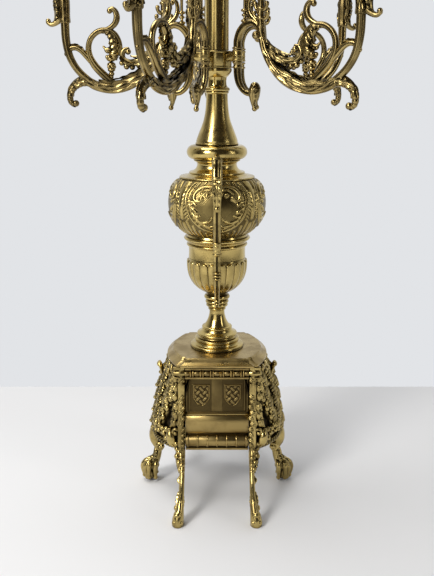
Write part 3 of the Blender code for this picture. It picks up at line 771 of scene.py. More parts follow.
def arm_shape():
    """One arm in its own plane, from the pin out to the socket under the drip pan."""
    shape = Shape()
    pan = low_z("drip_pan_left")
    barrel_top = high_z("arm_hub")

    # U-shaped bar: inner upright, leafy sweep over a lower tube, and fluted outer upright
    u_line = [(54.6, 553, 2.9), (54.3, 530, 3.2), (54.4, 505, 3.8), (57.3, 487, 4.0), (66, 470, 4.2),
              (79, 456.4, 4.4), (95, 447.8, 4.6), (112, 444.2, 4.5), (130, 448.0, 4.1), (145, 459.7, 3.8),
              (154.3, 474, 4.0), (158.1, 491, 4.4), (OUTER_R, 512, 4.6), (OUTER_R, 540, 4.8)]

    def u_section(angle, share):
        flutes = 0.90 + 0.10 * np.abs(np.cos(angle * 4)) ** 0.7
        late = np.clip((share - 0.62) * 12, 0, 1)
        early = 0.92 + 0.08 * np.abs(np.cos(angle * 2.5 + share * 60))
        return late * flutes + (1 - late) * early

    arm_bar(shape, u_line, 36, 10, u_section)
    arm_bar(shape, [(53.4, 506, 2.4), (55.2, 488, 2.6), (63.6, 468.6, 2.8), (77.2, 453.4, 3.0),
                    (93.8, 444.0, 3.1), (111.6, 440.8, 3.0), (129.4, 444.3, 2.8), (141.0, 452.0, 2.4)],
            16, 8)
    leaf_scales(shape, [(57.5, 494, 3.6), (62, 478, 4.4), (72, 464.5, 5.0), (86, 455.0, 5.2),
                        (100, 449.5, 5.0), (114, 447.5, 4.4), (124, 449.0, 3.6)], 6, 30.0, 3.4, 1.0)
    leaf_scales(shape, [(66, 466, 3.4), (80, 452.5, 3.8), (96, 445.0, 3.8), (112, 442.5, 3.6),
                        (128, 446.5, 3.4), (138, 452.5, 3.0)], 4, 28.0, 2.4, 1.0)
    arm_leaf(shape, [(64, 477.5, 1.6), (72, 468.4, 3.4), (84, 460.0, 4.6), (97, 454.6, 4.2),
                     (108, 452.2, 2.6), (116, 453.0, 1.0)], lobes=7, cup=-0.3)

    # Pin and shoulder in the hub's barrel
    pin_low = high_z("pendant_left") + 0.3
    rise = barrel_top - pin_low
    turned(shape, profile(
        [(0.05, 0), (3.5, 0), (3.5, rise + 0.3), (4.8, rise + 0.3)], arc((4.5, rise + 1.4), 0.9, -70, 80, 6),
        [(4.0, rise + 2.8), (0.05, rise + 2.8)]), pin_low, 32)

    # Bracket from the barrel up to the inner upright, its volute, spindle and side scroll
    arm_bar(shape, [(28, 483, 4.1), (28.2, 490, 4.0), (31.2, 498, 3.9), (37.2, 504, 3.7),
                    (45, 505.8, 3.4), (51.5, 502, 3.0), (54.0, 496.5, 2.6), (51.5, 491.8, 2.2)], 18, 7,
            grooved)
    ball(shape, on_arm(49.2, 494.0), (4.2, 3.9, 4.2), 20, 13)
    turned(shape, profile(
        [(0.05, 0), (2.6, 0)], arc((2.4, 2.4), 1.4, -80, 80, 7), [(1.5, 4.4), (1.4, 6.4)],
        arc((1.9, 7.8), 1.2, -80, 80, 6), [(1.6, 9.4), (1.5, 10.6)], arc((2.4, 12.2), 1.4, -80, 80, 6),
        [(1.5, 14.0), (1.5, 22.0), (1.6, 25.0)], arc((1.9, 26.4), 1.2, -80, 80, 6),
        [(1.2, 28.2), (0.6, 31.6), (0.05, 32.2)]), 505.4, 24, on_arm(36.0, 0)[:2])
    arm_bar(shape, [(53.5, 500, 2.6), (48, 507.5, 2.6), (42.0, 514, 2.4), (40.2, 522, 2.2),
                    (42.0, 528.4, 2.0), (45.6, 529.0, 1.7)], 12, 6, grooved)
    ball(shape, on_arm(46.0, 527.0), 2.5)

    # Curls on the inner upright and its scrolled end
    for side in (-1, 1):
        for z, reach in ((514, 6.6), (522.5, 5.4)):
            x = INNER_R + side * 1.5
            arm_bar(shape, [(x, z - 5.5, 2.0), (x + side * reach * 0.6, z - 4.4, 2.0),
                            (x + side * reach, z - 0.5, 1.8)], 10, 5)
            ball(shape, on_arm(x + side * reach * 0.92, z + 0.6), 2.3)
    for turn_z in (509.5, 518.5, 527.0):
        ball(shape, on_arm(INNER_R, turn_z), (4.6, 4.6, 2.2), 18, 9)
    arm_leaf(shape, [(54.5, 536, 2.0), (52.6, 545, 4.4), (52.2, 555, 5.0), (56, 562.0, 3.0),
                     (60.0, 562.4, 1.2)], lobes=4)
    curl(shape, on_arm, (59.4, 557.4), 5.6, 170, -300, 2.5, SIDE)

    # Spiral with its thick root, hanging leaf, bead drop and crest
    arm_bar(shape, [(104, 444.0, 3.2), (112, 450.4, 4.0), (121, 458.4, 4.1), (128.6, 466.6, 3.9),
                    (133.4, 475.8, 3.3), (134.4, 485.5, 3.0), (131.2, 494.0, 2.9), (124.2, 499.9, 2.9),
                    (115.8, 501.2, 3.1), (107.6, 498.4, 3.0), (102.8, 492.0, 2.8), (100.8, 484.5, 2.4),
                    (101.6, 477.5, 1.8)], 20, 8, grooved)
    hanging = ((119, 500.5, 1.2, 2.0), (111, 499.4, 2.4, 4.6), (105.8, 494, 3.0, 6.0),
               (103.6, 486, 3.2, 6.2), (104.2, 478, 3.0, 4.6), (106.2, 471.5, 2.6, 1.4))
    for lean, cup in ((-1, 0.5), (1, -0.5)):
        sheet = [(*on_arm(r, z, lean * y), w) for r, z, y, w in hanging]
        leaf(shape, sheet, (0.72, 0.70 * lean, 0), lobes=7, cup=cup, thickness=1.6, rows=40)
    arm_leaf(shape, [(116, 499.0, 2.4), (110.0, 495.6, 5.0), (107.8, 488.0, 6.4), (109.8, 481.0, 4.6),
                     (114.6, 479.0, 2.2), (117.4, 481.6, 1.0)], lobes=6, cup=-0.5, thickness=1.6)
    arm_bar(shape, [(112.0, 497.0, 2.6), (108.6, 491, 2.9), (110.4, 484.2, 2.6), (115.2, 482.4, 1.9),
                    (118.4, 485.0, 1.2)], 12, 6)
    ball(shape, on_arm(105.8, 488.0), (3.6, 5.4, 7.6), 18, 14)
    ball(shape, on_arm(107.6, 477.6), (5.6, 5.8, 3.6), 18, 12)
    for radius, z in ((5.0, 472.6), (4.6, 467.3), (4.1, 462.2), (3.0, 457.9), (2.0, 454.6)):
        ball(shape, on_arm(DROP_R, z), (radius, radius, 2.7), 20, 11)
    for k in range(5):
        spin = TAU * k / 5
        x, y = DROP_R + 4.2 * math.cos(spin), 4.2 * math.sin(spin)
        ball(shape, on_arm(x, 474.8, y), (2.1, 2.1, 2.3), 12, 8)
        ball(shape, on_arm(x - 1.8 * math.cos(spin + 0.6), 465.0, y * 0.8), (1.9, 1.9, 2.1), 12, 8)
    arm_bar(shape, [(110.6, 476, 1.6), (DROP_R, 455, 1.6), (DROP_R, 447, 1.8)], 10, 3)
    arm_bar(shape, [(118.5, 500.4, 2.6), (111.5, 503.2, 2.7), (106.0, 507.4, 3.1), (103.6, 513.2, 3.3),
                    (104.6, 519.0, 2.9), (107.8, 522.0, 2.5), (111.0, 521.4, 2.2)], 16, 7, grooved)
    ball(shape, on_arm(110.9, 520.2), 2.9, 18, 12)

    # Link from the outer upright over to the spiral
    arm_bar(shape, [(158.0, 478.0, 2.8), (154.4, 482.8, 2.7), (148.6, 484.2, 2.8), (142.8, 481.6, 2.9),
                    (137.4, 476.4, 3.1), (131.5, 469.8, 3.1), (125.0, 462.8, 2.4)], 16, 7, grooved)
    arm_leaf(shape, [(157, 484.0, 1.4), (150.5, 487.2, 3.2), (143.5, 484.6, 3.6), (137.5, 478.6, 1.4)],
             lobes=4)

    # Inner leafy branch that curls up beside the bead drop
    branch_line = [(58.0, 484.5, 3.2), (65.0, 478.4, 3.9), (74, 473.2, 4.1), (83, 470.0, 3.9),
                   (91, 468.8, 3.6), (96.6, 471.0, 3.2), (98.8, 476.0, 2.9), (97.0, 481.2, 2.6),
                   (93.0, 482.6, 2.2)]
    arm_bar(shape, branch_line, 16, 7, grooved)
    leaf_scales(shape, branch_line[:7], 4, 17.0, 3.2, 0.9)
    ball(shape, on_arm(92.6, 480.0), 3.1, 18, 12)
    for r, z, size in ((88.5, 464.6, 3.0), (94.6, 465.4, 3.3), (99.6, 468.8, 2.8), (82.0, 465.8, 2.5)):
        ball(shape, on_arm(r, z), (size, size, size), 14, 10)
    arm_leaf(shape, [(61, 489, 1.8), (68, 482.5, 4.4), (77, 477.5, 5.0), (85, 475.0, 3.4),
                     (90.5, 476.0, 1.0)], lobes=5)

    # Ribbed tail below the outer end
    arm_bar(shape, [(122, 444.4, 3.2), (131, 447.8, 4.0), (140, 449.2, 4.1), (147.8, 447.0, 4.0),
                    (153.6, 442.2, 3.9), (156.4, 435.6, 3.6), (155.6, 429.4, 3.2), (152.2, 426.0, 2.6)],
            20, 10, ringed(12, 0.13))
    ball(shape, on_arm(150.4, 427.8), (3.5, 3.5, 3.5), 18, 12)
    leaf_scales(shape, [(124, 446, 3.4), (133, 449.5, 3.8), (141, 450.6, 4.0), (148.6, 448.0, 3.8),
                        (154, 442.8, 3.4), (156.4, 436, 3.0)], 4, 15.0, 2.6, 0.7)
    arm_leaf(shape, [(136, 456.4, 1.4), (143.5, 454.8, 3.8), (151.0, 450.4, 4.2), (156.6, 444.0, 3.2),
                     (159.4, 437.0, 1.0)], lobes=6, cup=0.6)

    # Socket under the drip pan, and the leafy sleeve round the top of the outer upright
    pan_z = pan - SOCKET_Z
    turned(shape, profile(
        [(0.05, 0), (4.2, 0)], arc((4.2, 1.4), 1.2, -80, 80, 6),
        smooth([(4.6, 3.0), (4.9, 6.0), (6.2, 9.0)], 4), arc((6.4, 10.6), 1.0, -80, 80, 6),
        smooth([(6.0, 12.0), (4.2, 14.4), (4.4, 16.4)], 4), arc((4.8, 17.6), 0.8, -80, 80, 5),
        [(6.6, pan_z - 0.3), (3.0, pan_z - 0.3), (3.0, pan_z + 9), (0.05, pan_z + 9)]),
        SOCKET_Z, 40, on_arm(OUTER_R, 0)[:2])
    sleeve = [(OUTER_R, 508.5, 4.9), (OUTER_R, 510.0, 5.9), (OUTER_R, 516, 5.6), (OUTER_R, 528, 5.9),
              (OUTER_R, 538, 5.2)]
    arm_bar(shape, sleeve, 30, 6, reeded(10, 0.16), ends="flat")
    leaf_scales(shape, [(159.5, 541, 4.4), (159.5, 528, 5.0), (160.0, 512, 5.0)], 3, 17.0, 4.2,
                1.0)
    arm_leaf(shape, [(161.0, 547, 3.2), (165.6, 538, 6.2), (167.4, 527, 6.8), (167.6, 517, 5.0),
                     (169.5, 510.5, 2.8), (174.0, 508.0, 1.8)], lobes=8, cup=0.5, thickness=1.6)
    arm_bar(shape, [(159.5, 520, 3.0), (163.0, 513.4, 3.4), (168.0, 509.2, 2.9), (173.2, 507.4, 2.4),
                    (176.8, 509.4, 2.1)], 14, 6)
    ball(shape, on_arm(176.2, 510.8), 2.7, 18, 12)
    arm_bar(shape, [(165.8, 535, 4.4), (166.0, 524, 4.4), (163.6, 513, 3.2)], 14, 6, ringed(6, 0.14))
    return shape


def pendant_shape():
    """Stem and leafed drop under a barrel."""
    shape = Shape()
    top = high_z("pendant_left")
    turned(shape, profile(
        [(0.05, 0), (4.4, 0)], arc((4.3, 1.1), 0.9, -80, 80, 6), [(4.1, 2.4), (4.1, 4.4)],
        arc((4.3, 5.6), 0.9, -80, 80, 6), [(3.6, 6.7), (0.05, 6.7)]), top - 6.8, 32)
    arm_bar(shape, [(28.0, top - 4, 3.9), (28.3, top - 13, 3.8), (30.0, top - 20.5, 3.5),
                    (33.6, top - 26.4, 3.1), (38.4, top - 30.2, 2.9), (43.5, top - 31.5, 2.8)], 18, 7,
            grooved)
    arm_bar(shape, [(46.6, top - 23.6, 3.0), (46.6, top - 27.0, 4.7), (46.4, top - 31.4, 4.8),
                    (46.4, top - 36.5, 3.4), (47.0, top - 41.5, 2.3), (48.2, top - 45.0, 1.9)], 28, 7,
            reeded(8, 0.10))
    ball(shape, on_arm(48.4, top - 46.0), 2.7, 18, 12)
    arm_leaf(shape, [(43.4, top - 24.8, 1.4), (47.2, top - 21.6, 3.4), (51.2, top - 25.4, 4.4),
                     (51.0, top - 32.4, 3.6), (49.4, top - 39.0, 1.4)], lobes=6, cup=0.6, thickness=1.5)
    arm_leaf(shape, [(44.0, top - 28.5, 1.4), (42.0, top - 32.0, 2.6), (43.4, top - 37.0, 2.4),
                     (45.6, top - 41.5, 1.0)], lobes=4, cup=-0.6)
    return shape


def build_arms():
    """Five arms with their drops, pans and cups, each turned to its place about its pin."""
    arm = arm_shape()
    pendant = pendant_shape()
    for joint in frame["joints"]:
        side_name = joint["child"].removeprefix("branch_")
        pivot = Vector((joint["pos_m"][0] / MM, joint["pos_m"][1] / MM, 0))
        cup = middle_of("candle_cup_" + side_name)
        turn = math.atan2(cup[1] - pivot.y, cup[0] - pivot.x)
        matrix = Matrix.Translation(pivot) @ Matrix.Rotation(turn, 4, "Z")
        for prefix, source in (("arm_", arm), ("pendant_", pendant)):
            shape = Shape()
            shape.merge(source, matrix)
            make_piece(prefix + side_name, shape, AGED_AND_SHADED, 60)
        for prefix, holder in (("drip_pan_", pan_shape), ("candle_cup_", cup_shape)):
            make_piece(prefix + side_name, holder(prefix + side_name, cup), TURNED)


# ---------------------------------------------------------------- urn handles

def build_handle(node, sign):
    """Cast handle: leaf over the shoulder, grooved bar with two pairs of rings, tapered end."""
    shape = Shape()

    def at(d, z):
        return 0.0, sign * d, z

    def bar(line, sides=16, steps=7, section=None):
        sweep(shape, [(*at(d, z), w, t) for d, z, w, t in line], (1, 0, 0), sides, steps, section)

    def ridged(angle, share):
        return 1.0 - 0.34 * np.exp(-(np.cos(angle) / 0.26) ** 2)

    bar([(27.0, 365.0, 3.2, 2.4), (32.0, 368.0, 3.6, 2.6), (42.0, 373.0, 4.4, 2.9),
         (53.0, 372.0, 4.9, 3.0), (60.0, 361.0, 5.0, 3.0), (62.2, 346.0, 4.9, 2.9),
         (62.0, 334.0, 4.2, 2.7), (61.0, 322.0, 4.0, 2.6), (57.3, 304.0, 3.8, 2.5),
         (48.0, 292.0, 3.8, 2.6), (41.6, 283.0, 3.8, 2.6), (38.7, 272.0, 3.6, 2.4),
         (38.6, 258.0, 3.6, 2.4), (33.4, 243.0, 3.2, 2.3), (25.5, 231.5, 2.7, 2.3),
         (19.6, 222.0, 2.6, 2.2), (17.6, 214.5, 2.3, 2.1)], 40, 8, ridged)
    leaf(shape, [(*at(62.8, 356), 2.4), (*at(65.6, 347), 3.6), (*at(66.0, 338), 3.6),
                 (*at(65.2, 330), 2.6), (*at(66.2, 325.5), 1.2)],
         (1, 0, 0), lobes=5, cup=0.4 * sign, thickness=1.4)
    ball(shape, at(65.4, 327.4), (2.9, 1.9, 3.1), 16, 11)
    bar([(46.0, 289.4, 4.0, 3.4), (42.6, 284.0, 4.1, 3.6), (40.0, 277.0, 3.9, 3.3)], 24, 6)
    for d, z, w in ((46.6, 289.6, 5.2), (44.6, 286.4, 4.6), (41.4, 281.0, 4.7), (40.2, 276.8, 5.3),
                    (39.2, 256.6, 4.6), (38.2, 253.2, 4.9), (36.8, 249.8, 4.5), (19.0, 221.2, 3.4),
                    (18.2, 217.6, 3.2)):
        ball(shape, at(d, z), (w, 4.0, 1.9), 20, 12)
    for d, z, w, t in ((45.6, 373.6, 5.4, 4.4), (49.4, 373.8, 5.6, 4.4), (62.0, 357.4, 5.7, 4.0),
                       (63.0, 352.4, 5.4, 3.6)):
        ball(shape, at(d, z), (w, 1.9 if z > 370 else t, t if z > 370 else 1.9), 18, 11)
    sweep(shape, [(*at(24.5, 368.5), 1.5, 1.5), (*at(23.6, 365.5), 2.6, 2.2),
                  (*at(26.2, 362.8), 2.2, 1.8)], (1, 0, 0), 12, 4)
    make_piece(node, shape, CAST, 60)


# ---------------------------------------------------------------- base

def plate_loop(corner_x, depth, bow_x, notch, arc_steps=7, bow_steps=14, front_steps=12):
    """Plan of the top plate: straight front and back, notched corners, bowed sides."""
    quarter = [(x, depth) for x in np.linspace(0, corner_x - notch, front_steps)[1:]]
    for angle in np.radians(np.linspace(0, 90, arc_steps + 1)[1:]):
        quarter.append((corner_x - notch * math.cos(angle), depth - notch * math.sin(angle)))
    for share in np.linspace(1, 0, bow_steps + 1)[1:]:
        quarter.append((corner_x + (bow_x - corner_x) * (1 - share ** 2), (depth - notch) * share))
    right = quarter + [(x, -y) for x, y in reversed(quarter[:-1])] + [(0.0, -depth)]
    return right + [(-x, y) for x, y in reversed(right[:-1])] + [(0.0, depth)]


def build_top_plate():
    """Top plate with a flared edge and cut corners."""
    low, high = (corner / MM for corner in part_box("top_plate"))
    depth, bow = high.y, high.x
    corner, notch = 43.5, 4.5
    thick = high.z - low.z
    flare = [(0.0, 0.2), (0.3, 0.0), (1.9, 0.0), (2.3, 0.3)]
    flare += [(2.4 + 5.4 * share, 0.5 + 5.6 * (1 - (1 - share) ** 1.9)) for share in np.linspace(0, 1, 9)]
    flare += [(thick - 0.5, 6.5), (thick, 7.1)]
    loops = [[(x, y, low.z + z) for x, y in plate_loop(corner - inset, depth - inset, bow - inset, notch)]
             for z, inset in flare]
    bottom = np.array(loops[0])
    angles = np.arctan2(bottom[:, 1], bottom[:, 0])
    for z in (high.z, low.z):
        loops.append([(ROD_BORE * math.cos(a), ROD_BORE * math.sin(a), z) for a in angles])
    shape = Shape()
    shape.add(loops, grid_faces(len(loops), len(loops[0]), wrap_rows=True))
    make_piece("top_plate", shape, SATIN, 25)


FRIEZE_Z = 148.4
SHIELD_X = 16.9
SHIELD_Z = 121.6
PANEL_DEPTH = 8.8


def shield_relief(x, z):
    """Raised shield with a rim and crossed bands, over points counted from its middle, with its painted shade and
    painted highlights on the rim and band edges.
    """
    half, top, shoulder, tip = 9.4, 12.2, -3.5, -12.6
    slope = np.where(z < shoulder, half * np.sqrt(np.clip((z - tip) / (shoulder - tip), 0, 1)), half)
    inset = np.minimum(slope - np.abs(x), top - z)
    inset = np.where(z < tip, -1, inset)
    body = np.clip(inset / 0.5, 0, 1) * 0.7
    rim = np.clip(1 - np.abs(inset - 0.9) / 0.55, 0, 1) * 0.55
    along, across = (x + z + 0.8) / math.sqrt(2), (x - z - 0.8) / math.sqrt(2)
    pitch = 5.3

    def bands(value):
        offset = np.abs((value / pitch + 0.5) % 1.0 - 0.5) * pitch
        return np.clip((1.25 - offset) / 0.35, 0, 1), np.clip(1 - np.abs(offset - 1.05) / 0.30, 0, 1)

    first, first_edge = bands(along)
    second, second_edge = bands(across)
    over = (np.floor(along / pitch + 0.5) + np.floor(across / pitch + 0.5)) % 2 == 0
    weave = np.where(over, np.maximum(first, 0.55 * second), np.maximum(second, 0.55 * first))
    edge = np.where(over, first_edge * first, second_edge * second)
    inner = np.clip((inset - 1.6) / 0.4, 0, 1)
    # Painted shade on the ground and the band middles; painted highlights on the rim and along the band edges.
    shade = np.where(inset > 0, -0.4, -0.72) + 0.7 * rim - 0.8 * inner * (1 - weave) + 0.9 * inner * edge
    return body + rim + inner * (0.55 * weave + 0.2 * edge), shade


def build_box_plate(node, sign):
    """Box wall: beaded frieze, sunk panel with two shields, swelling panel, ribbed moulding."""
    low, high = (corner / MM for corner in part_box(node))
    half = high.x
    face = high.y if sign > 0 else -low.y
    back = face - (high.y - low.y)
    shape = Shape()

    def put(x, d, z):
        return np.stack([x, sign * d, z], axis=-1)

    def round_face(depth, bulge, middle, half_high, start, end, count):
        """Rounded stretch of the outer face, hollow where bulge is negative."""
        turns = np.radians(np.linspace(start, end, count))
        return [(face - depth + bulge * math.sin(a), middle - half_high * math.cos(a)) for a in turns]

    # The wall's section, from the bottom of its back round the foot and up the outer face
    section = profile(
        [(back, low.z), (face - 1.8, low.z), (face - 1.4, low.z + 0.4), (face - 1.4, low.z + 2.2),
         (face - 3.6, low.z + 2.7)],
        round_face(4.6, 4.4, low.z + 9.2, 6.2, 6, 174, 17),
        [(face - 4.6, 75.8), (face - 3.4, 76.4), (face - 6.2, 77.1)],
        round_face(6.6, 4.0, 88.3, 11.0, 4, 176, 20),
        [(face - 6.0, 99.5), (face - 6.0, 100.6), (face - 7.8, 101.0), (face - PANEL_DEPTH, 101.4)],
        [(face - PANEL_DEPTH, z) for z in np.linspace(102, 140, 8)],
        [(face - PANEL_DEPTH, 141.8), (face - 2.2, 142.2), (face - 1.2, 142.6), (face - 1.0, 144.2),
         (face - 2.0, 144.9)],
        round_face(2.0, -1.7, 148.6, 3.5, 10, 170, 12),
        [(face - 2.0, 152.3), (face - 1.0, 152.8), (face - 0.4, 154.4), (face - 1.2, 155.2),
         (face - 1.6, high.z), (back, high.z)])
    rows = len(section)
    # Painted shade: the sunk panel much darker than the rest of the wall.
    shades = np.where((section[:, 0] < face - 8.5) & (section[:, 0] > back + 1), -0.72, -0.22)
    xs = np.array([-half, -half + 0.4, half - 0.4, half])
    points = np.stack([put(np.full(rows, x), section[:, 0] - (0.3 if abs(x) == half else 0), section[:, 1])
                       for x in xs])
    shape.add(points, tube_faces(len(xs), rows), np.tile(shades, len(xs)))

    # Shields standing on the sunk panel, with a flat pilaster between them and a frame round
    panel_face = face - PANEL_DEPTH
    for middle in (-SHIELD_X, SHIELD_X):
        size_x, size_z, step = 10.6, 13.6, 0.25
        x, z = np.meshgrid(np.arange(-size_x, size_x + step, step),
                           np.arange(-size_z, size_z + step, step), indexing="ij")
        rise, relief = shield_relief(x, z)
        top = put(x + middle, panel_face + 0.05 + rise, z + SHIELD_Z)
        under = put(x + middle, np.full_like(x, panel_face - 0.4), z + SHIELD_Z)
        shape.add(np.concatenate([top, under]), sheet_faces(*x.shape),
                  np.concatenate([relief, np.zeros_like(relief)]))
    for x0, x1, z0, z1, rise in ((-half + 0.6, half - 0.6, 101.0, 102.4, 0.9),
                                 (-half + 0.6, half - 0.6, 140.2, 141.6, 0.9),
                                 (-half + 0.6, -half + 1.9, 101.0, 141.6, 0.9),
                                 (half - 1.9, half - 0.6, 101.0, 141.6, 0.9),
                                 (-5.8, 5.8, 102.6, 140.0, 0.7), (-30.4, -29.4, 103, 139.8, 0.5),
                                 (29.4, 30.4, 103, 139.8, 0.5)):
        ends = sorted((sign * (panel_face - 0.5), sign * (panel_face + rise)))
        rounded_box(shape, (x0, ends[0], z0), (x1, ends[1], z1), 0.3)
        # Painted shade on the frame and pilasters in the sunk panel.
        shape.shade_last(-0.55)

    # Frieze, and ribs between hollows across the lower mouldings
    bead_and_reel(shape, lambda s, out, up: (s - half, sign * (face - 2.2 + out), FRIEZE_Z + up),
                  2 * half, 3.1, 10.8, half - 5.4)
    for k in range(7):
        middle = (k - 3) * 10.6
        rib = [(middle, sign * (face - 4.8 + 4.9 * math.sin(a)), low.z + 9.2 - 6.7 * math.cos(a), 0.95, 0.8)
               for a in np.radians(np.linspace(12, 168, 9))]
        sweep(shape, rib, (1, 0, 0), 12, 4)
    make_piece(node, shape, SATIN, 38)


def bow_x(y, z):
    """How far out the side castings' face stands at a place along the side and a height."""
    corner = np.interp(z, [60, 157], [43.0, 44.5])
    middle = np.interp(z, [60, 75, 95, 118, 135, 146, 157], [75.5, 75.0, 71.0, 67.5, 62.5, 58.5, 53.0])
    return corner + (middle - corner) * math.cos(math.pi * np.clip(y, -50, 50) / 100)


def build_casting(node, sign):
    """Bowed side: leafy panel with a slit and a post of scrolls at each end, and an apron."""
    shape = Shape()
    low, high = low_z(node), high_z(node)
    reach = 49.0

    def on_bow(y, z, out=0.0):
        return sign * (bow_x(y, z) + out), y, z

    def panel_edge(z):
        return np.interp(z, [74, 80, 90, 103, 118, 143.5], [22.5, 24.5, 28.0, 32.2, 41.0, 44.0])

    # Rail under the plate, with the frieze's beads carried round the side
    rail = [(*on_bow(y, 149.0, -6.4), 6.6, 3.6) for y in np.linspace(-reach, reach, 11)]
    sweep(shape, rail, (0, 0, 1), 4, 5, None, "flat")
    bead_and_reel(shape, lambda s, out, up: on_bow(s - reach, FRIEZE_Z + up, -3.2 + out), 2 * reach, 3.0,
                  10.9, reach, 220)

    # Panel: a bowed wall with its front surface in knobbly leaf relief
    rows, columns = 110, 96
    z_line = np.linspace(70.0, 145.5, rows)
    z, u = np.meshgrid(z_line, np.linspace(-1, 1, columns), indexing="ij")
    y = u * panel_edge(z_line)[:, None]
    face = np.vectorize(bow_x)(y, z)
    across = np.abs(np.sin(y * 0.30 + 1.6 * np.sin(z * 0.13))) ** 0.7
    lumps = across * np.abs(np.sin(z * 0.27 + 0.05 * np.abs(y)))
    fine = np.abs(np.sin(y * 0.9 + 0.8 * np.sin(z * 0.6)))
    height = (2.6 * lumps + 0.8 * fine) * (0.35 + 0.65 * np.clip((1 - np.abs(u)) * 9, 0, 1)) - 4.4
    outer = np.stack([sign * (face + height), y, z], axis=-1)
    inner = np.stack([sign * (face - 7.2), y, z], axis=-1)
    loops = np.concatenate([outer, inner[:, ::-1]], axis=1)
    # Painted shade: the panel's inner face is the darkest, for the shade inside the box.
    relief = np.concatenate([np.clip(lumps * 1.4 + fine * 0.5 - 1.1, -1, 1),
                             np.full((rows, columns), -1.0)], axis=1)
    shape.add(loops, tube_faces(*loops.shape[:2]), relief)

    # Wall behind the slits, painted near black as the shade inside the box, and the wall of the apron, a little
    # darker
    for z0, z1, depth, thick in ((68.0, 148.0, -11.0, 1.6), (62.6, 80.0, -6.4, 2.6)):
        wall = [(*on_bow(y, (z0 + z1) / 2, depth), (z1 - z0) / 2, thick)
                for y in np.linspace(-44.0, 44.0, 13)]
        sweep(shape, wall, Vector((-0.24 * sign, 0, 1)).normalized(), 4, 4, None, "flat")
        shape.shade_last(-1.0 if depth < -9 else -0.3)

    def big_leaf(y0, z0, width, drop, lean=0.0, out=0.0):
        """One drooping leaf with a curled tip."""
        line = [(*on_bow(y0, z0, -3.4 + out), width * 0.5),
                (*on_bow(y0 + lean * 0.3, z0 - drop * 0.28, -0.6 + out), width),
                (*on_bow(y0 + lean * 0.6, z0 - drop * 0.62, 0.2 + out), width * 0.95),
                (*on_bow(y0 + lean * 0.9, z0 - drop * 0.9, 0.7 + out), width * 0.6),
                (*on_bow(y0 + lean, z0 - drop, 1.6 + out), width * 0.3)]
        leaf(shape, line, (0, 1, 0), lobes=5, cup=0.5 * sign, thickness=2.0, notch=0.3, rows=30,
             columns=15)
        ball(shape, on_bow(y0 + lean, z0 - drop + 0.8, 0.2 + out), (2.2, 3.4, 2.0), 14, 9)

    # Big leaves in tiers over the panel, the middle one a little prouder, and scrolled edges
    for z0 in (147.0, 131.5, 116.5, 102.0, 88.0):
        spread = panel_edge(z0 - 9)
        big_leaf(0.0, z0, 7.0, 15.0, out=0.4)
        for end in (-1, 1):
            for share, size in ((0.40, 7.2), (0.80, 6.4)):
                big_leaf(end * spread * share, z0 - 3.5 + 4.0 * share, size, 16.0, end * 1.5)
    for end in (-1, 1):
        for k, z0 in enumerate((136.0, 122.5, 109.5, 97.0, 85.5)):
            y0 = end * (panel_edge(z0) - 2.0)
            size = 4.4 - 0.25 * k
            curl(shape, lambda a, b, y0=y0, z0=z0, e=end: on_bow(y0 - e * (2.0 - a * 0.8), z0 + b, -1.2),
                 (0, 0), size, 60, -300, 1.9, (1, 0, 0), points=8)
            ball(shape, on_bow(y0 - end * 1.0, z0 - 6.6, -2.6), (3.4, 3.4, 4.2), 16, 10)
        ball(shape, on_bow(end * 19.0, 80.0, -1.0), (4.0, 5.0, 5.4), 18, 12)

    # Curled leaf that stands out under the plate, and knobs towards the corners
    crest = [(*on_bow(0, 133.0, -2.0), 8.0, 2.4), (*on_bow(0, 138.5, 1.4), 7.4, 2.4),
             (*on_bow(0, 142.0, 4.0), 6.4, 2.4), (*on_bow(0, 144.2, 5.6), 5.0, 2.2)]
    sweep(shape, crest, (0, 1, 0), 22, 6)
    ball(shape, on_bow(0, 142.8, 5.6), (2.6, 5.6, 2.8), 18, 10)
    for y0, z0 in ((-34.0, 150.8), (-24.0, 151.0), (24.0, 151.0), (34.0, 150.8)):
        ball(shape, on_bow(y0, z0, -1.6), (3.4, 5.0, 4.2), 18, 12)
        ball(shape, on_bow(y0 * 0.86, z0 - 5.4, -0.4), (3.0, 3.8, 3.2), 16, 10)

    # Posts: a plain inner strip, blocks and a roll at the top, and a run of knobs with small leaves
    for end in (-1, 1):
        inner_x, block_x = 34.6, 34.8
        post_line = ((44.0, high, 4.6, 4.6), (43.6, 130, 3.6, 4.8), (43.2, 104, 3.6, 5.0),
                     (42.6, 80, 3.8, 5.6), (42.8, low, 4.2, 6.0))
        post = [(sign * (inner_x + w), end * d, z, w, t) for d, z, w, t in post_line]
        sweep(shape, post, (1, 0, 0), 4, 6, None, "flat")
        for x1, y0, y1, z0, z1 in ((46.6, 44, 49.0, 152.4, high), (46.0, 43, 48.8, 142.4, 144.4),
                                   (42.0, 43, 49.4, 124.5, 137.0)):
            x_low, x_high = sorted((sign * block_x, sign * x1))
            y_low, y_high = sorted((end * y0, end * y1))
            rounded_box(shape, (x_low, y_low, z0), (x_high, y_high, z1), 0.7)
        sweep(shape, [(sign * block_x, end * 47.4, 148.6, 2.2, 2.6),
                      (sign * 37.5, end * 47.6, 148.6, 2.9, 3.3),
                      (sign * 41.0, end * 47.6, 148.6, 2.9, 3.3),
                      (sign * 45.6, end * 47.2, 148.6, 2.0, 2.4)], (0, 1, 0), 16, 5)
        for x, z, wide, tall in ((38.4, 140.0, 3.9, 2.4), (38.4, 121.6, 3.5, 2.8),
                                 (39.4, 115.8, 3.4, 3.6), (37.6, 109.4, 3.0, 3.2),
                                 (39.6, 103.4, 3.6, 3.6), (37.8, 96.6, 3.0, 3.4), (40.0, 90.4, 4.0, 3.8),
                                 (37.8, 83.6, 3.0, 3.4), (38.4, 77.0, 3.4, 3.2), (38.2, 70.6, 3.4, 3.4),
                                 (38.4, 64.8, 3.6, 3.0)):
            ball(shape, (sign * x, end * 47.0, z), (wide * 1.1, 2.8, tall * 1.3), 18, 12)
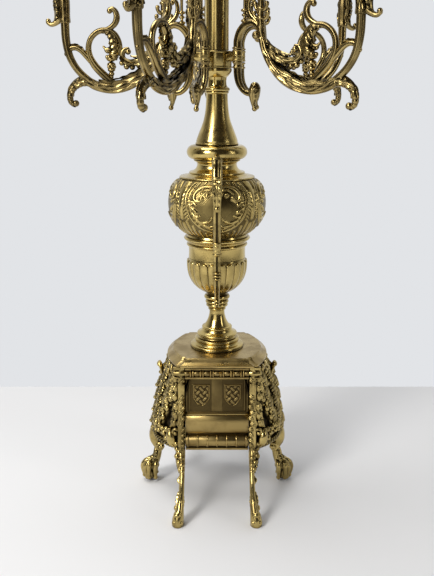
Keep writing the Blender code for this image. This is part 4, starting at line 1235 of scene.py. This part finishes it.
            leaf(shape, [(sign * (x - 2.6), end * 48.4, z + 2.6, 1.0),
                         (sign * (x - 0.4), end * 50.0, z + 0.4, 2.1),
                         (sign * (x + 2.6), end * 49.2, z - 2.6, 0.8)], (0.7 * sign, 0, 0.7), lobes=3,
                 cup=0.4 * end, thickness=1.4, rows=16, columns=9)
        # Leaves between the post and the slit, larger towards the bottom
        widths = ((144, 3.4), (124, 3.4), (104, 3.0), (90, 4.2), (76, 5.4), (64, 5.0))
        filler = [(*on_bow(end * 46.6, z, -7.0), w, 3.0) for z, w in widths]
        sweep(shape, filler, (0.5 * sign, 0.8 * end, 0), 8, 6, None, "flat")
        for z0, y0, size, turn in ((141, 43.0, 3.2, 20), (131, 44.2, 2.8, 150), (120.5, 43.8, 3.2, 40),
                                   (110, 45.4, 2.6, 170), (99.5, 44.6, 3.2, 60), (89.5, 42.8, 4.2, 190)):
            ball(shape, on_bow(end * y0, z0, -3.6), (3.4, size, 5.6), 16, 11)
            curl(shape, lambda a, b, y0=y0, z0=z0, e=end: on_bow(e * (y0 - a * 0.6), z0 + b, -1.6),
                 (0, 0), size, turn, -280, 1.7, (1, 0, 0), points=8)
            leaf(shape, [(*on_bow(end * (y0 + 1.5), z0 + 6, -2.6), size * 0.5),
                         (*on_bow(end * y0, z0 + 2, -0.8), size),
                         (*on_bow(end * (y0 - 0.8), z0 - 3, -0.4), size * 0.8),
                         (*on_bow(end * (y0 - 1.6), z0 - 6, 0.4), 0.8)],
                 (0.2 * sign, 0.9, 0.3 * end), lobes=4, cup=0.4 * sign, thickness=1.6, rows=22,
                 columns=11)

        # Smooth cup above the leg with a curl over it, and the leaves that hold it
        sweep(shape, [(*on_bow(end * 45.0, 63.0, -1.0), 1.8, 2.0),
                      (*on_bow(end * 45.5, 66.6, 1.6), 4.4, 3.8),
                      (*on_bow(end * 45.4, 71.6, 2.4), 5.2, 4.4),
                      (*on_bow(end * 44.6, 76.6, 2.2), 4.6, 4.2),
                      (*on_bow(end * 42.6, 80.6, 1.4), 3.0, 3.0)], (1, 0, 0), 24, 8)
        curl(shape, lambda a, b, e=end: (sign * (45.6 + a), end * 47.4, 80.8 + b), (0, 0), 4.2, 200, -300,
             1.8, (0, 1, 0), points=10)
        for y0, z0, out, size in ((36.0, 79.0, 0.0, 3.4), (33.0, 73.6, 0.4, 3.0), (36.6, 68.6, 1.2, 2.8),
                                  (29.0, 77.0, -1.0, 3.0), (46.4, 66.6, -1.0, 3.0),
                                  (24.0, 73.0, -0.6, 3.0)):
            ball(shape, on_bow(end * y0, z0, out - 1.0), (size, size * 0.9, size), 16, 11)
        # Rope that runs from the side leg's scroll to the corner leg
        hang = ((47.0, 63.2, -3.6), (38, 62.4, -2.4), (28, 62.8, -2.0), (18, 64.2, -2.4), (8, 66.6, -3.6))
        rope = [(*on_bow(end * d, z, o), 3.2, 3.0) for d, z, o in hang]
        sweep(shape, rope, (0.3, 0, 0.95), 20, 12, twisted(6.5, 2, 0.34))
    make_piece(node, shape, CAST, 60)


def build_corner_leg(node, side, end):
    """Flat-backed leg: lumpy leaf at the top, ringed shank, ankle knot and a block hoof."""
    shape = Shape()
    top = high_z(node)
    inner = 34.7
    line = [(44.0, top, 4.6, 5.8), (47.5, 55.5, 4.4, 5.0), (56.5, 48.0, 3.5, 3.6), (67.5, 41.4, 2.9, 2.8),
            (78.5, 34.8, 2.9, 2.7), (86.5, 28.2, 3.0, 3.2), (92.0, 22.5, 3.6, 4.4),
            (96.0, 16.0, 4.4, 5.6), (98.6, 9.0, 5.8, 7.4), (99.6, 4.0, 6.3, 8.2), (99.6, 0.0, 6.4, 8.2)]

    def at(d, z, across):
        return side * (inner + across), end * d, z

    sweep(shape, [(*at(d, z, w), w, t) for d, z, w, t in line], (1, 0, 0), 24, 8, None, "flat")
    for d, z, across, w, t in ((44.5, 60.0, 8.8, 3.4, 3.0), (47.5, 57.4, 6.4, 3.6, 3.2),
                               (49.5, 53.6, 9.0, 3.2, 3.4), (52.6, 52.6, 4.0, 3.8, 3.0),
                               (55.4, 48.6, 6.8, 3.2, 3.2), (59.4, 47.6, 3.4, 3.2, 2.6),
                               (62.0, 44.0, 5.4, 2.6, 2.8), (65.6, 43.2, 3.0, 2.8, 2.2)):
        ball(shape, at(d + 1.6, z + 0.4, across), (w, t, t), 18, 11)
    leaf(shape, [(*at(46.0, 58.5, 9.6), 1.8), (*at(52.0, 50.6, 9.0), 3.8), (*at(58.5, 45.0, 7.4), 3.4),
                 (*at(64.5, 40.8, 5.8), 1.0)],
         (0, 0.5 * end, 0.85), lobes=5, cup=0.4, thickness=1.6, rows=28)
    tilt = Matrix.Rotation(math.radians(-50) * end, 4, "X")
    for d, z, size in ((71.5, 39.0, 3.2), (74.2, 37.4, 4.0), (76.8, 35.8, 3.2), (86.8, 28.0, 3.6),
                       (89.6, 25.4, 4.6), (92.4, 22.4, 5.0), (94.6, 19.2, 4.6)):
        ring = Shape()
        turned(ring, profile([(0.4, -1.3)], arc((size - 1.15, 0), 1.15, -80, 80, 7), [(0.4, 1.3)]), 0, 26)
        shape.merge(ring, Matrix.Translation(at(d, z, min(size, 3.9) + 0.3)) @ tilt)
    for k in (-1, 1):
        ball(shape, at(103.4, 4.2, 6.5 + 2.9 * k), (3.2, 4.2, 3.9), 18, 12)
    ball(shape, at(101.0, 12.0, 6.4), (4.6, 5.0, 3.6), 18, 12)
    ball(shape, at(94.5, 16.0, 8.4), (2.4, 3.4, 3.4), 14, 10)
    make_piece(node, shape, CAST, 60)


def build_centre_leg(node, sign):
    """Side leg: smooth knee, a scroll behind it, and a paw whose claws hold a ball."""
    shape = Shape()
    top = high_z(node)

    def at(x, z, y=0.0):
        return sign * x, y, z

    knee = [(69.0, top, 8.8, 5.8), (70.9, 60, 9.0, 6.9), (71.0, 52.0, 8.2, 6.8), (69.0, 44.5, 6.2, 5.2),
            (67.4, 38, 4.4, 3.7), (68.4, 31.5, 4.4, 3.9), (71.2, 25.5, 5.6, 5.2), (74.0, 20.5, 6.2, 6.0)]
    sweep(shape, [(*at(x, z), w, t) for x, z, w, t in knee], (0, 1, 0), 30, 8, None, "flat")
    ball(shape, at(77.6, 8.6), (7.0, 7.0, 8.4), 30, 20)
    ball(shape, at(76.0, 18.0), (8.8, 7.4, 6.6), 24, 16)
    for k in range(3):
        y = (k - 1) * 5.4
        far = 1 - 0.04 * abs(k - 1)
        claw = [(*at(75.0, 25.5, y * 0.5), 2.6, 2.6), (*at(82.0 * far, 23.4, y * 0.85), 3.2, 3.2),
                (*at(86.0 * far, 18.0, y), 3.2, 3.0), (*at(85.8 * far, 11.6, y), 2.7, 2.5),
                (*at(84.2 * far, 5.0, y * 0.96), 2.0, 1.9)]
        sweep(shape, claw, (0, 1, 0), 18, 7)
        ball(shape, at(84.2 * far, 20.6, y), (3.3, 3.2, 3.0), 16, 11)
        ball(shape, at(86.0 * far, 13.4, y), (2.5, 2.9, 2.4), 16, 11)
        ball(shape, at(84.6 * far, 5.4, y * 0.96), (2.6, 2.4, 3.0), 16, 11)
    for side in (-1, 1):
        for x0 in (71.0, 78.5):
            claw = [(*at(x0 - 1.0, 25.0, side * 4.4), 2.4, 2.4), (*at(x0, 20.5, side * 7.4), 2.9, 2.7),
                    (*at(x0 + 0.6, 13.6, side * 7.8), 2.6, 2.2),
                    (*at(x0 + 0.4, 5.4, side * 7.2), 1.9, 1.7)]
            sweep(shape, claw, (1, 0, 0), 16, 7)
            ball(shape, at(x0 + 0.3, 18.0, side * 7.4), (3.0, 2.1, 2.8), 16, 11)
            ball(shape, at(x0 + 0.4, 5.2, side * 7.0), (2.6, 2.1, 2.8), 14, 10)
        curl(shape, lambda a, b, s=side: at(65.2 + a, 43.0 + b, s * 5.8), (0, 0), 5.0, 110, -320, 2.3,
             (0, 1, 0), points=10)
        ball(shape, at(65.2, 43.0, side * 5.8), (2.8, 2.8, 2.8), 16, 11)
        leaf(shape, [(*at(70.5, 37.0, side * 3.6), 1.8), (*at(71.0, 32.5, side * 4.6), 3.2),
                     (*at(73.0, 28.0, side * 6.0), 3.2), (*at(75.5, 25.0, side * 7.0), 1.0)],
             (0.1, 0.75 * side, 0.6), lobes=4, cup=0.4, thickness=1.4, rows=24)
    leaf(shape, [(*at(72.0, 40.0), 2.4), (*at(73.0, 35.5), 4.2), (*at(74.2, 31.0), 4.4),
                 (*at(78.0, 28.0), 1.6)], (0, 1, 0), lobes=4, cup=0.5 * sign, thickness=1.6, rows=26)
    make_piece(node, shape, CAST, 60)


def bead_and_reel(shape, point, length, radius, pitch, start=0.0, count=200):
    """Half-round moulding of long beads between pairs of thin discs; point(along, out, up) places it."""
    along = np.linspace(0, length, count)
    phase = ((along - start) / pitch) % 1.0
    gap = np.minimum(phase, 1 - phase) * pitch
    disc = 2.6
    bulge = np.sin(np.clip((gap - 2.2) / (pitch - 4.4), 0, 1) * math.pi)
    size = radius * (0.42 + 0.30 * np.sqrt(np.clip(bulge, 0, 1)))
    rise = np.abs(np.sin(np.clip(gap / disc, 0, 1) * math.pi))
    size = np.where(gap < disc, radius * (0.60 + 0.55 * rise), size)
    angle = np.linspace(0, TAU, 20, endpoint=False)
    points = [[point(s, r * math.cos(a), r * 1.25 * math.sin(a)) for a in angle]
              for s, r in zip(along, size)]
    shape.add(points, tube_faces(count, len(angle)), np.repeat(np.where(gap < disc, 1.0, -0.35), len(angle)))


def leaf_scales(shape, line, count, length, width, lift):
    """Row of long overlapping strands along both faces of a bar, from (r, z, half thickness) points."""
    dense = smooth(line, 16)
    travel = np.concatenate([[0], np.cumsum(np.hypot(*np.diff(dense[:, :2], axis=0).T))])
    for face in (-1, 1):
        for k in range(count):
            begin = travel[-1] * (k + 0.3 * (face > 0)) / count
            slip = (1.2, -1.2)[k % 2]
            stations = []
            for share, wide, rise in ((0, 0.4, 0.0), (0.2, 0.9, 0.5), (0.5, 1.0, 0.8), (0.8, 0.7, 0.9),
                                      (1.0, 0.25, 1.0)):
                s = min(begin + length * share, travel[-1])
                r, z, t = (np.interp(s, travel, dense[:, c]) for c in range(3))
                stations.append((r, z, wide * width, face * (t * 0.72 + lift * rise),
                                 slip * (share - 0.3) * 2.4))
            first, last = stations[0], stations[-1]
            across = np.array([-(last[1] - first[1]), last[0] - first[0]], float)
            across /= max(np.hypot(*across), 1e-6)
            sheet = [(*on_arm(r + across[0] * off, z + across[1] * off, y), w)
                     for r, z, w, y, off in stations]
            leaf(shape, sheet, (across[0], 0, across[1]), lobes=2, cup=0.45 * face, thickness=1.2,
                 notch=0.12, rows=26, columns=11)


# ---------------------------------------------------------------- assembly

def build_all():
    """Every piece of the candelabra."""
    build_stem_foot()
    build_bowl()
    build_collar()
    build_bulb()
    build_plain_turnings()
    build_hub()
    build_centre_top()
    build_arms()
    build_handle("handle_front", -1)
    build_handle("handle_back", 1)
    build_top_plate()
    build_box_plate("front_plate", -1)
    build_box_plate("back_plate", 1)
    for name, side in (("left", -1), ("right", 1)):
        build_casting(name + "_side_casting", side)
        build_centre_leg("leg_" + name, side)
        for end_name, end in (("front", -1), ("back", 1)):
            build_corner_leg(f"leg_{end_name}_{name}", side, end)
    for node in ("tie_rod", "rod_washer", "rod_nut"):
        obj = frame["nodes"][node]
        obj.data.materials.clear()
        obj.data.materials.append(STEEL)


# ---------------------------------------------------------------- stage, light and camera

PALE_ROOM = (0.76, 0.775, 0.80, 1)
DARK_ROOM = (0.035, 0.030, 0.026, 1)


def plain_look(name, colour, roughness):
    """Even material for the floor."""
    look = bpy.data.materials.new(name)
    look.use_nodes = True
    shader = look.node_tree.nodes["Principled BSDF"]
    shader.inputs["Base Color"].default_value = (*colour, 1)
    shader.inputs["Roughness"].default_value = roughness
    return look


def stage_sheet(name, corners, look):
    """Flat sheet that belongs to the studio and not to the object."""
    mesh = bpy.data.meshes.new(name)
    mesh.from_pydata(corners, [], [tuple(range(len(corners)))])
    mesh.materials.append(look)
    obj = bpy.data.objects.new(name, mesh)
    bpy.context.scene.collection.objects.link(obj)


def area_light(name, place, target, size, power, colour):
    """Soft rectangular light turned towards a target."""
    light = bpy.data.lights.new(name, "AREA")
    light.shape = "RECTANGLE"
    light.size, light.size_y = size
    light.energy = power
    light.color = colour
    obj = bpy.data.objects.new(name, light)
    obj.location = place
    obj.rotation_euler = (Vector(target) - Vector(place)).to_track_quat("-Z", "Y").to_euler()
    bpy.context.scene.collection.objects.link(obj)


def build_stage():
    """Floor, surround and lights."""
    floor_z = cad_box[0][2] - 0.0002
    reach, back = 2.5, 0.29
    stage_sheet("floor", [(-reach, -reach, floor_z), (reach, -reach, floor_z), (reach, back, floor_z),
                          (-reach, back, floor_z)], plain_look("pale_cloth", (0.79, 0.79, 0.795), 0.9))
    world = bpy.data.worlds.new("studio")
    bpy.context.scene.world = world
    world.use_nodes = True
    nodes, links = world.node_tree.nodes, world.node_tree.links
    background = nodes["Background"]
    split = nodes.new("ShaderNodeSeparateXYZ")
    links.new(nodes.new("ShaderNodeTexCoord").outputs["Generated"], split.inputs["Vector"])
    shift = nodes.new("ShaderNodeMapRange")
    shift.inputs["From Min"].default_value = -1.0
    shift.inputs["From Max"].default_value = 1.0
    links.new(split.outputs["Y"], shift.inputs["Value"])
    ramp = nodes.new("ShaderNodeValToRGB")
    ramp.color_ramp.elements[0].position = 0.42
    ramp.color_ramp.elements[0].color = DARK_ROOM
    ramp.color_ramp.elements[1].position = 0.80
    ramp.color_ramp.elements[1].color = PALE_ROOM
    links.new(shift.outputs["Result"], ramp.inputs["Fac"])
    links.new(ramp.outputs["Color"], background.inputs["Color"])

    # The room seen directly is an even pale grey; only what the metal reflects has the dark side
    wall = nodes.new("ShaderNodeBackground")
    wall.inputs["Color"].default_value = PALE_ROOM
    choose = nodes.new("ShaderNodeMixShader")
    links.new(nodes.new("ShaderNodeLightPath").outputs["Is Camera Ray"], choose.inputs[0])
    links.new(background.outputs["Background"], choose.inputs[1])
    links.new(wall.outputs["Background"], choose.inputs[2])
    links.new(choose.outputs["Shader"], nodes["World Output"].inputs["Surface"])
    area_light("key", (-1.1, -1.3, 1.35), (0, 0, 0.3), (0.55, 0.9), 26, (1.0, 0.985, 0.96))
    area_light("fill", (1.6, -0.9, 0.9), (0, 0, 0.3), (0.25, 1.2), 4, (1.0, 0.99, 0.97))
    area_light("window", (-0.72, -1.35, 0.62), (0, 0, 0.4), (1.1, 0.9), 3.6, (1.0, 0.99, 0.97))
    area_light("top", (-0.5, 0.2, 2.0), (0, 0, 0.2), (1.0, 1.0), 17, (1.0, 1.0, 1.0))


def build_camera():
    """Camera that looks down a little at the front."""
    camera = bpy.data.cameras.new("camera")
    camera.sensor_fit = "VERTICAL"
    camera.sensor_height = 24.0
    camera.lens = 32.92
    camera.clip_start = 0.01
    obj = bpy.data.objects.new("camera", camera)
    obj.location = (0.0, -0.841, 0.448)
    obj.rotation_euler = (math.radians(75.5), 0, 0)
    bpy.context.scene.collection.objects.link(obj)
    bpy.context.scene.camera = obj


build_camera()
build_all()
build_stage()
bpy.context.scene.view_settings.view_transform = "Standard"
